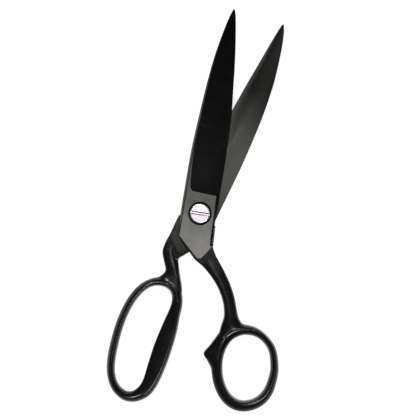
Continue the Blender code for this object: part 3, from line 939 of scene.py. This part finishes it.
    def hole_tool(self) -> Item:
        """Pivot hole with its counterbore.

        Returns:
            The cutter.
        """
        bore, seat, top = self.bore / 2, self.stack.counterbore / 2, self.stack.outer
        floor, wide = top - self.seat_depth, seat + self.ease + 1
        builder = bmesh.new()
        add_turned(builder, [(0.0, -FAR), (bore, -FAR), (bore, floor), (seat, floor),
                             (seat, top - self.ease), (wide, top + 1), (wide, FAR),
                             (0.0, FAR)], self.bore_steps)
        return self.tool("hole_tool", builder, Surface.BEVEL)

    def ride_tool(self) -> Item:
        """Fine line turned round the ride on the inner face, on the handle's side.

        Returns:
            The cutter.
        """
        inner, outer = self.ride_radius, self.ride_radius + self.ride_line
        low, high = self.stack.inner - 1, self.stack.inner + self.ride_depth
        ring = bmesh.new()
        add_turned(ring, [(inner, low), (outer, low), (outer, high), (inner, high)],
                   self.ride_steps)
        half = bmesh.new()
        wide = 1.5 * FAR
        add_prism(half, [(-wide, -wide), (wide, -wide), (wide, self.ride_top),
                         (-wide, self.ride_top)], -FAR, FAR)
        tool = self.tool("ride_tool", ring, Surface.BEVEL)
        combine(tool, self.tool("ride_half", half, Surface.BEVEL), "INTERSECT")
        return tool

    def tang(self) -> Item:
        """The tongue that lies in the handle.

        Returns:
            The tongue.
        """
        builder = bmesh.new()
        middle, half = (self.stack.inner + self.stack.outer) / 2, self.tang_thickness / 2
        add_prism(builder, tang_outline(self.tang_end, self.tang_width), middle - half,
                  middle + half)
        return self.tool("tang", builder, Surface.SIDE)

    def mark_hone_and_sheen(self, item: Item) -> None:
        """Store how bright each point of the inner face is near the cutting edge: the real honed
        land, widened into a painted sheen on the hollow.

        Args:
            item: the blade.
        """
        marks = item.data.attributes.new(HONE_AND_SHEEN, "FLOAT", "POINT")
        for index, vertex in enumerate(item.data.vertices):
            _, edge = self.limits(vertex.co.y)
            band = min(self.hone_sheen_band, self.hone_sheen_limit[0] * edge + self.hone_sheen_limit[1])
            low = vertex.co.z < self.stack.inner + self.hollow
            lit = low and vertex.co.y > self.bevel_foot
            away = (edge - vertex.co.x) / band
            marks.data[index].value = max(0.0, 1 - away) * self.hone_and_sheen if lit else 0.0

    def build(self, pose: HalfPose) -> None:
        """Make, dress and install the blade.

        Args:
            pose: where its half lies.
        """
        self.finishes = blade_finishes(pose.turn)
        item = self.plate(f"{pose.prefix}_blade_ground")
        foot = bmesh.new()
        add_prism(foot, self.shield.outline(0.0, self.reach + FAR / 2), -FAR, FAR)
        for tool, operation in (
                (self.bevel_tool(), "DIFFERENCE"), (self.side_tool(), "DIFFERENCE"),
                (self.tool("shield_tool", foot, Surface.SIDE), "INTERSECT"),
                (self.tang(), "UNION"), (self.hole_tool(), "DIFFERENCE"),
                (self.ride_tool(), "DIFFERENCE")):
            combine(item, tool, operation)
        # the edge breaks take the blackened bevel's slot: painted shade that keeps the rounded
        # edges from glinting
        soften(item, self.edge_break, self.break_angle, slot=Surface.BEVEL.value)
        shade(item, self.crisp_angle, machined=True)
        self.mark_hone_and_sheen(item)
        pose.install(item, f"{pose.prefix}_blade")


def tang_outline(end: Point, width: float, grow: float = 0.0) -> list[Point]:
    """Outline of a tang or of its slot, from inside the shield to its end.

    Args:
        end: where the tang ends.
        width: the tang's width.
        grow: the slot's gap round it.

    Returns:
        Its corners in plan.
    """
    start, tip = Vector(TANG_ROOT), Vector(end)
    along = (tip - start).normalized()
    side = Vector((-along.y, along.x)) * (width / 2 + grow)
    tip = tip + along * grow
    return [tuple(spot) for spot in (start + side, start - side, tip - side, tip + side)]


# ---- handles ----


@dataclass
class Bow:
    """The ring round a finger hole, with its ridge and any horn that its wall draws."""

    top: Point
    width: float
    length: float
    hole: Sequence[Point]
    wall: Table
    thickness: float = 12.0
    edge: float = 3.2
    fullness: tuple[float, float] = (1.45, 1.5)     # of the flanks inside and outside
    steps: int = 260
    detail: int = 40            # pieces of the hole's curve between two of its points
    span: tuple[int, int] = (2, 3)      # points behind and ahead that give a direction

    def curve(self) -> list[tuple[Vector, Vector]]:
        """Evenly spaced points round the hole.

        Returns:
            Each point with its outward direction.
        """
        middle = self.top[1] - self.length / 2
        knots = [(self.top[0] + x * self.width / 2, middle + y * self.length / 2)
                 for x, y in self.hole]
        dense = spline(knots, self.detail, closed=True)
        reached = [0.0]
        for here, there in zip(dense, dense[1:] + dense[:1]):
            reached.append(reached[-1] + (there - here).length)
        result, index = [], 0
        behind, beyond = self.span
        for step in range(self.steps):
            target = reached[-1] * step / self.steps
            while reached[index + 1] < target:
                index += 1
            here, there = dense[index], dense[(index + 1) % len(dense)]
            along = (there - here).normalized()
            ahead = dense[(index + beyond) % len(dense)] - dense[index - behind]
            spot = here + along * (target - reached[index])
            result.append((spot, Vector((-ahead.y, ahead.x)).normalized()))
        return result

    def sections(self) -> list[list[Point]]:
        """Sections of the ring.

        Returns:
            One section for each point of the curve.
        """
        sections = []
        for step, (spot, outward) in enumerate(self.curve()):
            share = step / self.steps
            wall = read_table(self.wall, share, 1, closed=True)
            ridge = read_table(self.wall, share, 2, closed=True) / wall
            sections.append(section_between(spot, spot + outward * wall, ridge,
                                            self.thickness / 2, self.edge / 2, self.fullness))
        return sections


def section_between(inner: Vector, outer: Vector, ridge: float, height: float, edge: float,
                    fullness: tuple[float, float]) -> list[Point]:
    """Closed section over a line: rounded edges and a ridge above and below.

    Args:
        inner: one end of the line.
        outer: the other end.
        ridge: share of the way from inner to outer where the section is highest.
        height: half thickness at the ridge.
        edge: half thickness at the two ends.
        fullness: how round the flanks are on each side; 1 is flat and 2 elliptical.

    Returns:
        Points round the section.
    """
    first, second = FLANK_STEPS
    shares = [ridge * (1 - math.cos(math.pi / 2 * i / first)) for i in range(first)]
    shares += [ridge + (1 - ridge) * math.sin(math.pi / 2 * i / second)
               for i in range(second + 1)]
    crown = []
    for share in shares:
        if share <= ridge:
            rise = (1 - (1 - share / ridge) ** fullness[0]) ** (1 / fullness[0])
        else:
            away = min(1.0, (share - ridge) / (1 - ridge))
            rise = (1 - away ** fullness[1]) ** (1 / fullness[1])
        spot = inner.lerp(outer, share)
        crown.append((spot.x, spot.y, edge + (height - edge) * rise))
    return crown + [(x, y, -z) for x, y, z in reversed(crown)]


@dataclass
class Handle:
    """One cast handle: bow, shank, the rim round the shield, and the seat for the blade."""

    bow: Bow
    left: Sequence[Point]
    right: Sequence[Point]
    ridges: Sequence[float]
    collar_foot: Point
    shield: Shield
    tang_end: Point
    stack: Stack = field(default_factory=Stack)
    rim: float = 0.75
    shield_top: float = 13.4    # the rim and the seat end here
    corner_below: float = -15.0     # the shield's right corner lies below this
    collar_drop: float = 0.05   # the rim lies this much below the steel
    collar_top: float = -6.0
    collar_tuck: Point = (0.4, 1.6)
    collar_inset: Point = (0.15, 1.2)
    edge_drop: Point = (0.9, 0.7)   # the shank's edges below its ridge, and the growth of it
    fullness: tuple[float, float] = (2.0, 2.0)
    shank_steps: int = 8        # sections between two points of the shank's edges
    step_distance: float = 22.7     # the step that clears the other half, from the pivot
    step_angle: float = -49.4
    step_ends: Point = (32.0, 18.0)
    nest_foot: float = -42.0
    tang_width: float = 5.0
    tang_thickness: float = 2.2
    heights: Sequence[float] = (4.0, 4.1, 4.5, 4.9, 5.2, 5.4, 5.5, 5.6)
    joins: Sequence[Point] = ()     # x, y and reach where parts flow into each other
    voxel: float = 0.4
    smoothing: int = 5
    join_smoothing: int = 24
    pull: float = 0.5           # how far one smoothing pass moves a point
    crisp_angle: float = 35.0

    def edges(self) -> tuple[list[Vector], list[Vector]]:
        """The shank's two edges, from the collar to the bow.

        Returns:
            Points of the left edge and of the right one.
        """
        shield = self.shield.outline(self.rim, self.shield_top)
        corner = max(spot for spot in shield if spot[1] < self.corner_below)
        left = [Vector(self.shield.point) + Vector(self.collar_foot)]
        right = [Vector(corner) - Vector((0.0, self.rim))]
        return (left + [Vector(spot) for spot in self.left],
                right + [Vector(spot) for spot in self.right])

    def shank_sections(self) -> list[list[Point]]:
        """Sections across the bar between the collar and the bow.

        Returns:
            The sections, from the collar on.
        """
        left, right = [spline(edge, self.shank_steps) for edge in self.edges()]
        sections = []
        for index, (near, far) in enumerate(zip(left, right)):
            place = index / self.shank_steps
            whole = min(int(place), len(self.ridges) - 2)
            ridge, height = [row[whole] + (row[whole + 1] - row[whole]) * (place - whole)
                             for row in (self.ridges, self.heights)]
            edge = max(height - self.edge_drop[0] - place * self.edge_drop[1],
                       self.bow.edge / 2)
            sections.append(section_between(near, far, ridge, height, edge, self.fullness))
        return sections

    def collar(self) -> list[Point]:
        """Outline of the rim of casting round the shield, down to the shank.

        Returns:
            Its corners in plan.
        """
        shield = self.shield.outline(self.rim, self.shield_top)
        left, right = self.edges()
        corner = Vector(shield[CORNER_STEPS // 2 + 1])
        side = shield[-2][0]
        points = [corner + Vector(self.collar_tuck), corner, *left[:2], *right[2::-1],
                  shield[-3]]
        points += [(side - inset, self.collar_top) for inset in self.collar_inset]
        return [tuple(point) for point in points]

    def nest(self) -> list[Point]:
        """Outline of everything on the pivot's side of the step.

        Returns:
            Its corners in plan.
        """
        angle = math.radians(self.step_angle)
        normal = Vector((math.cos(angle), math.sin(angle)))
        along = Vector((-normal.y, normal.x))
        foot, wide = normal * self.step_distance, 2 * FAR
        return [tuple(foot + along * self.step_ends[0]), tuple(foot - along * self.step_ends[1]),
                (-wide, self.nest_foot), (-wide, wide), (wide, wide)]

    def blank(self, name: str) -> Item:
        """The casting in one skin, with the joins between its parts flowing together.

        Args:
            name: the object's name.

        Returns:
            The casting, before it is cut.
        """
        top = self.stack.outer - self.collar_drop
        builder = bmesh.new()
        add_loft(builder, self.bow.sections(), closed=True)
        add_loft(builder, self.shank_sections())
        add_prism(builder, self.collar(), -top, top)
        item = new_piece(name, builder)
        modifier = item.modifiers.new("skin", "REMESH")
        modifier.mode = "VOXEL"
        modifier.voxel_size = self.voxel
        settle(item)
        skin = bmesh.new()
        skin.from_mesh(item.data)
        near = [vert for vert in skin.verts
                if any((vert.co.to_2d() - Vector((x, y))).length < reach
                       for x, y, reach in self.joins)]
        for verts, passes in ((skin.verts, self.smoothing), (near, self.join_smoothing)):
            for _ in range(passes):
                bmesh.ops.smooth_vert(skin, verts=verts, factor=self.pull, use_axis_x=True,
                                      use_axis_y=True, use_axis_z=True)
        skin.to_mesh(item.data)
        skin.free()
        return item

    def build(self, pose: HalfPose, finish: Material) -> None:
        """Make, cut, dress and install the handle.

        Args:
            pose: where its half lies.
            finish: the enamel.
        """
        item = self.blank(f"{pose.prefix}_handle_enamelled")
        inner, outer, gap = self.stack.inner, self.stack.outer, self.stack.seat_gap
        middle, half = (inner + outer) / 2, self.tang_thickness / 2 + gap
        tools = []
        for name, outline, low, high in (
                ("nest_tool", self.nest(), -FAR, inner),
                ("seat_tool", self.shield.outline(gap, self.shield_top), inner - gap, FAR),
                ("slot_tool", tang_outline(self.tang_end, self.tang_width, gap),
                 middle - half, middle + half)):
            builder = bmesh.new()
            add_prism(builder, outline, low, high)
            tools.append(new_piece(name, builder))
        for tool in tools[1:]:
            combine(tools[0], tool, "UNION")
        combine(item, tools[0], "DIFFERENCE")
        item.data.materials.clear()
        item.data.materials.append(finish)
        shade(item, self.crisp_angle)
        pose.install(item, f"{pose.prefix}_handle")


# ---- pivot hardware ----


@dataclass
class PivotHardware:
    """Screw, washers and lock nut on the pivot axis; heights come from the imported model."""

    height: float
    play: float = 0.2               # between the screw's head and its washer
    head_radius: float = 6.15
    head_ease: float = 0.2
    crown: float = 0.75             # radius of the head's upper edge
    dome: Table = ((1.0, 0.1), (0.45, 0.03))    # share of the head's radius, drop there
    slot_width: float = 1.1
    slot_depth: float = 1.1
    slot_flare: float = 0.5         # width and depth of the slot's lips, which carry painted shade
    shoulder_radius: float = 3.6
    shoulder_foot: float = 0.05     # above the joint plane
    shoulder_ease: float = 0.15
    thread_radius: float = 2.9
    thread_pitch: float = 1.0
    thread_depth: float = 0.45
    thread_crest: Point = (0.42, 0.56)  # start and end of a crest above its foot
    thread_end: float = 0.3         # plain length at both ends of the thread
    clearance: Point = (0.05, 0.1)  # of the head washer's hole and the back washer's
    washer_radius: float = 6.5
    washer_ease: Point = (0.1, 0.12)
    nut_flat: float = 5.0           # from the axis
    nut_ease: float = 0.35
    nut_face: float = 0.97          # share of the flat that its turned face takes
    nut_turned: float = 0.75        # share of the corners that turning lowers
    edge_break: float = 0.06
    break_angles: Point = (40.0, 30.0)  # for the screw and for the nut
    crisp_angle: float = 32.0
    crown_steps: int = 14
    steps: int = 120

    def levels(self, node: str) -> tuple[float, float]:
        """Lowest and highest point of a CAD node, relative to the joint plane, in mm."""
        low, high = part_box(node)
        return low.z / MM - self.height, high.z / MM - self.height

    def turned(self, name: str, profile: Sequence[Point],
               finishes: Sequence[Material]) -> Item:
        """A piece turned on a lathe.

        Args:
            name: the object's name.
            profile: closed row of (radius, height) points.
            finishes: its materials.

        Returns:
            The piece.
        """
        builder = bmesh.new()
        add_turned(builder, profile, self.steps)
        return new_piece(name, builder, finishes)

    def screw(self, finishes: Sequence[Material]) -> Item:
        """Slotted head with a crowned top, shoulder, and grooved threaded end.

        Args:
            finishes: plating of the whole screw, and the painted shade inside its driver slot.

        Returns:
            The screw.
        """
        low, high = self.levels("pivot_screw")
        seat, step = self.levels("head_washer")[1] + self.play, self.shoulder_foot
        crest, head, shoulder = self.thread_radius, self.head_radius, self.shoulder_radius
        root = crest - self.thread_depth
        profile = [(0.0, low), (root, low)]
        for turn in range(int((step - low - 2 * self.thread_end) / self.thread_pitch)):
            foot = low + self.thread_end + turn * self.thread_pitch
            profile += [(root, foot), *[(crest, foot + rise) for rise in self.thread_crest]]
        edge = high - self.dome[0][1] - self.crown
        profile += [(root, step - self.thread_end), (root, step),
                    (shoulder - self.shoulder_ease, step),
                    (shoulder, step + self.shoulder_ease), (shoulder, seat),
                    (head - self.head_ease, seat), (head, seat + self.head_ease),
                    (head, edge)]
        for index in range(self.crown_steps + 1):
            angle = math.pi / 2 * index / self.crown_steps
            profile.append((head - self.crown + self.crown * math.cos(angle),
                            edge + self.crown * math.sin(angle)))
        profile += [(head * self.dome[1][0], high - self.dome[1][1]), (0.0, high)]
        item = self.turned("pivot_screw_plated", profile, finishes)
        combine(item, self.slot_tool(high, finishes), "DIFFERENCE")
        soften(item, self.edge_break, self.break_angles[0])
        return item

    def slot_tool(self, top: float, finishes: Sequence[Material]) -> Item:
        """Cutter for the driver slot, flared at the head's surface.

        Args:
            top: the head's highest point.
            finishes: the screw's materials; the flare and walls take the second, a painted shade.

        Returns:
            The cutter.
        """
        half, reach = self.slot_width / 2, self.head_radius + 1
        floor, lip = top - self.slot_depth, top - self.slot_flare
        wide = half + self.slot_flare + 2
        side = [(-half, floor), (half, floor), (half, lip), (wide, top + 2), (wide, FAR),
                (-wide, FAR), (-wide, top + 2), (-half, lip)]
        builder = bmesh.new()
        add_loft(builder, [[(x, y, z) for y, z in side] for x in (-reach, reach)])
        # the floor keeps the bright plate; walls and lips take the painted shade
        for face in builder.faces:
            face.material_index = 0 if face.calc_center_median().z < floor + MERGE else 1
        turn = Matrix.Rotation(math.radians(REST_OPENING), 4, "Z")
        bmesh.ops.transform(builder, matrix=turn, verts=builder.verts)
        return new_piece("slot_tool", builder, finishes)

    def ring(self, name: str, node: str, inner: float, ease: float,
             finish: Material) -> Item:
        """A washer with eased edges between a CAD node's two levels.

        Args:
            name: the object's name.
            node: the CAD node.
            inner: radius of its hole.
            ease: how much its edges are eased.
            finish: its plating.

        Returns:
            The washer.
        """
        (low, high), outer = self.levels(node), self.washer_radius
        return self.turned(name, [
            (inner, low + ease), (inner + ease, low), (outer - ease, low),
            (outer, low + ease), (outer, high - ease), (outer - ease, high),
            (inner + ease, high), (inner, high - ease)], [finish])

    def nut(self, finish: Material) -> Item:
        """Hexagon nut with turned corners and an eased thread.

        Args:
            finish: its plating.

        Returns:
            The nut.
        """
        low, high = self.levels("lock_nut")
        corner = self.nut_flat / math.cos(math.pi / 6)
        builder = bmesh.new()
        add_prism(builder, [(corner * math.cos(math.pi / 3 * i),
                             corner * math.sin(math.pi / 3 * i)) for i in range(6)],
                  low, high)
        item = new_piece("lock_nut_plated", builder, [finish])
        bore, ease = self.thread_radius + self.clearance[0], self.nut_ease
        face, wide = self.nut_flat * self.nut_face, corner + self.clearance[1]
        drop = (corner - self.nut_flat) * self.nut_turned
        tool = self.turned("nut_tool", [
            (bore + ease, low), (face, low), (wide, low + drop), (wide, high - drop),
            (face, high), (bore + ease, high), (bore, high - ease), (bore, low + ease)],
            [finish])
        combine(item, tool, "INTERSECT")
        soften(item, self.edge_break, self.break_angles[1])
        return item

    def build(self) -> None:
        """Make, dress and install all four pieces."""
        finishes = []
        for name, light, dark, roughness in (
                # nickel plate over turned steel: the brightest spot, faintly pink
                ("bright_nickel_plate", "#d8d0d5", "#ccc3ca", 0.30),
                # the same plate darkened and tinted violet: painted shade on the slot's walls and
                # lips
                ("slot_shade_plate", "#6b4a6c", "#553a58", 0.40),
                # spring steel tempered blue-black: draws the dark ring round the head
                ("blued_spring_steel", "#1c1b22", "#101014", 0.36),
                # zinc plate, greyer than nickel, on the hardware at the back
                ("zinc_plate", "#b9babc", "#95969a", 0.30)):
            finishes.append(TurnedPlate(name, light, dark, roughness).material())
        bright, slot_shade, spring, zinc = finishes
        pose = HalfPose("lower_half", "pivot", 0.0, False, self.height)
        shoulder = self.shoulder_radius + self.clearance[0]
        thread = self.thread_radius + self.clearance[1]
        for piece, node, slot in (
                (self.screw([bright, slot_shade]), "pivot_screw", "screw_chrome"),
                (self.ring("head_washer_blued", "head_washer", shoulder,
                           self.washer_ease[0], spring), "head_washer", "washer_steel"),
                (self.ring("back_washer_plated", "back_washer", thread,
                           self.washer_ease[1], zinc), "back_washer", "plated_steel"),
                (self.nut(zinc), "lock_nut", "plated_steel")):
            shade(piece, self.crisp_angle, machined=True)
            pose.install(piece, node)


# ---- studio ----


@dataclass
class Studio:
    """Camera straight above, pale floor and soft lights."""

    turn: float = 23.72         # degrees that the shears are turned in the view
    centre: Point = (0.00484, 0.00451, 0.006)
    view_width: float = 0.2622
    lens: float = 120.0
    sensor: float = 36.0
    clip: Point = (0.01, 10.0)
    floor_reach: float = 1.5
    floor_drop: float = 0.0001
    room: float = 0.15          # strength of the light from all round
    glow: float = 0.82          # the paper is lit from behind, which lifts its shadows
    lights: Sequence[tuple[str, Point, float, float]] = (
        ("key", (-0.55, 0.50, 1.25), 0.3, 16.0),
        ("fill", (0.60, -0.42, 1.25), 0.3, 11.0),
        ("top", (-0.12, 0.22, 1.4), 0.25, 2.4),
    )

    def camera(self) -> None:
        """Set up the camera that looks straight down."""
        data = bpy.data.cameras.new("camera")
        data.lens = self.lens
        data.sensor_width = self.sensor
        data.clip_start, data.clip_end = self.clip
        item = bpy.data.objects.new("camera", data)
        distance = self.view_width * self.lens / self.sensor
        item.location = Vector(self.centre) + Vector((0, 0, distance))
        item.rotation_euler = (0, 0, math.radians(self.turn))
        bpy.context.scene.collection.objects.link(item)
        bpy.context.scene.camera = item

    def light(self, name: str, place: Point, size: float, power: float) -> None:
        """Add a square soft light that faces the shears.

        Args:
            name: the light's name.
            place: where it is, in metres.
            size: its side, in metres.
            power: its power, in watts.
        """
        data = bpy.data.lights.new(name, "AREA")
        data.shape = "SQUARE"
        data.size = size
        data.energy = power
        item = bpy.data.objects.new(name, data)
        item.location = place
        item.rotation_euler = (-Vector(place)).to_track_quat("-Z", "Y").to_euler()
        bpy.context.scene.collection.objects.link(item)

    def build(self) -> None:
        """Set up the camera, the floor, the lights and the room's own light."""
        self.camera()
        builder = bmesh.new()
        bmesh.ops.create_grid(builder, x_segments=4, y_segments=4, size=self.floor_reach)
        bmesh.ops.translate(builder, vec=(0, 0, -self.floor_drop), verts=builder.verts)
        # thick pale paper lit from behind: an even white ground with soft, faint shadows
        material, _, shader = blank_material("pale_floor_paper")
        for name, value in (("Base Color", srgb("#8c8c8c")), ("Roughness", 0.9),
                            ("Specular IOR Level", 0.0), ("Emission Color", srgb("#ffffff")),
                            ("Emission Strength", self.glow)):
            shader.inputs[name].default_value = value
        floor = new_piece("floor", builder, [material])
        for name, place, size, power in self.lights:
            self.light(name, place, size, power)
        world = bpy.data.worlds.new("studio")
        world.use_nodes = True
        back = world.node_tree.nodes["Background"]
        back.inputs["Color"].default_value = srgb("#ffffff")
        back.inputs["Strength"].default_value = self.room
        bpy.context.scene.world = world
        bpy.context.scene.view_settings.view_transform = "Standard"


# ---- sizes that belong to one half ----


UPPER_BACK = ((0.0, 1.0), (0.25, 1.0), (0.35, 0.967), (0.48, 0.883), (0.64, 0.75),
              (0.76, 0.605), (0.86, 0.42), (0.96, 0.185), (1.0, 0.04))
UPPER_EDGE = ((0.0, 1.0), (0.25, 1.0), (0.38, 0.97), (0.505, 0.90), (0.61, 0.765),
              (0.77, 0.55), (0.905, 0.304), (0.98, 0.13), (1.0, 0.04))
LOWER_BACK = ((0.0, 0.885), (0.20, 0.967), (0.33, 1.0), (0.48, 0.985), (0.58, 0.94),
              (0.70, 0.825), (0.77, 0.71), (0.89, 0.445), (0.965, 0.215), (1.0, 0.05))
LOWER_EDGE = ((0.0, 1.0), (0.25, 1.0), (0.38, 0.93), (0.51, 0.76), (0.69, 0.53),
              (0.73, 0.47), (0.915, 0.205), (0.98, 0.09), (1.0, 0.03))

THUMB_BOW = Bow(
    top=(44.3, -69.65), width=29.8, length=41.1,
    hole=((0.02, 1.0), (0.45, 0.89), (0.80, 0.63), (0.98, 0.21), (1.0, -0.13), (0.86, -0.58),
          (0.52, -0.88), (0.0, -1.0), (-0.47, -0.85), (-0.84, -0.46), (-1.0, 0.0),
          (-0.98, 0.41), (-0.79, 0.74), (-0.45, 0.94)),
    wall=((0.0, 5.6, 3.9), (0.0625, 4.7, 3.4), (0.125, 4.8, 3.0), (0.25, 5.3, 2.8),
          (0.375, 6.3, 2.2), (0.5, 6.8, 1.5), (0.625, 7.0, 1.5), (0.69, 6.9, 1.9),
          (0.72, 7.4, 2.4), (0.75, 9.8, 2.9), (0.766, 11.9, 3.1), (0.776, 12.7, 3.2),
          (0.787, 12.1, 3.4), (0.8125, 10.2, 3.8), (0.845, 9.2, 4.4), (0.88, 9.3, 4.8),
          (0.92, 8.9, 4.5), (0.96, 6.6, 4.1)),
)
FINGER_BOW = Bow(
    top=(3.3, -50.8), width=24.8, length=69.0,
    hole=((-0.14, 1.0), (0.38, 0.94), (0.73, 0.78), (0.94, 0.53), (1.0, 0.24), (0.94, -0.08),
          (0.71, -0.51), (0.43, -0.78), (0.01, -0.95), (-0.48, -1.0), (-0.83, -0.92),
          (-1.0, -0.72), (-0.90, -0.37), (-0.80, 0.0), (-0.78, 0.39), (-0.77, 0.75),
          (-0.56, 0.94)),
    wall=((0.0, 6.0, 2.0), (0.05, 5.0, 1.7), (0.1, 5.1, 1.7), (0.25, 5.1, 1.9),
          (0.35, 5.2, 2.2), (0.45, 5.0, 2.6), (0.5, 5.4, 2.9), (0.525, 6.0, 3.3),
          (0.55, 7.2, 4.1), (0.575, 8.6, 5.6), (0.6, 9.3, 6.6), (0.65, 10.7, 8.4),
          (0.7, 11.4, 9.3), (0.75, 11.5, 9.5), (0.8, 10.9, 9.1), (0.85, 9.6, 7.8),
          (0.9, 7.7, 5.8), (0.95, 6.6, 3.4)),
)


def build_upper_half(height: float, enamel: Material) -> None:
    """Build the half that turns, with the thumb bow and its horn.

    Args:
        height: the joint plane above the resting plane, in mm.
        enamel: the handle's finish.
    """
    stack = Stack()
    tang_end = (15.8, -34.6)
    shield = Shield(back=BACK_OFFSET, hip=0.0)
    pose = HalfPose("upper_half", "upper", REST_OPENING, False, height)
    Blade(UPPER_BACK, UPPER_EDGE, shield, tang_end, stack.shoulder_hole,
          stack.counterbore_depth).build(pose)
    Handle(
        THUMB_BOW,
        left=((6.4, -31.7), (13.4, -37.7), (19.0, -44.4), (23.3, -52.5), (25.2, -60.4),
              (24.6, -65.3), (24.0, -70.0)),
        right=((14.1, -24.3), (21.2, -33.2), (26.1, -40.6), (29.9, -48.0), (33.2, -57.0),
               (35.8, -61.9), (41.0, -66.5)),
        ridges=(0.5, 0.42, 0.35, 0.33, 0.33, 0.36, 0.4, 0.5),
        collar_foot=(-2.6, -0.3), shield=shield, tang_end=tang_end,
        joins=((27.0, -65.5, 8.0), (38.0, -62.5, 8.0), (7.5, -34.0, 3.5),
               (20.8, -33.2, 4.5)),
    ).build(pose, enamel)


def build_lower_half(height: float, enamel: Material) -> None:
    """Build the half underneath, with the long finger bow.

    Args:
        height: the joint plane above the resting plane, in mm.
        enamel: the handle's finish.
    """
    stack = Stack()
    tang_end = (5.6, -35.0)
    shield = Shield(back=BACK_OFFSET * LOWER_BACK[0][1], hip=0.9)
    pose = HalfPose("lower_half", "lower", 0.0, True, height)
    Blade(LOWER_BACK, LOWER_EDGE, shield, tang_end, stack.thread_hole,
          stack.back_seat_depth).build(pose)
    Handle(
        FINGER_BOW,
        left=((0.9, -31.8), (-0.4, -34.0), (-2.6, -37.8), (-4.9, -41.4), (-7.4, -45.2),
              (-9.6, -49.0)),
        right=((12.5, -24.0), (12.2, -30.7), (9.0, -35.8), (5.6, -40.7), (6.2, -43.9),
               (9.5, -49.6)),
        ridges=(0.5, 0.6, 0.3, 0.25, 0.22, 0.18, 0.15),
        collar_foot=(-4.0, -1.4), shield=shield, tang_end=tang_end,
        joins=((-8.5, -47.5, 8.0), (8.5, -48.0, 8.0), (12.2, -30.7, 4.0)),
    ).build(pose, enamel)


def main() -> None:
    """Build the shears and the studio, and log each installed piece."""
    logging.basicConfig(level=logging.INFO, format="%(message)s")
    height = frame["joints"][0]["pos_m"][2] / MM
    enamel = BakedEnamel().material()
    build_lower_half(height, enamel)
    build_upper_half(height, enamel)
    PivotHardware(height).build()
    Studio().build()


if __name__ == "__main__":
    main()
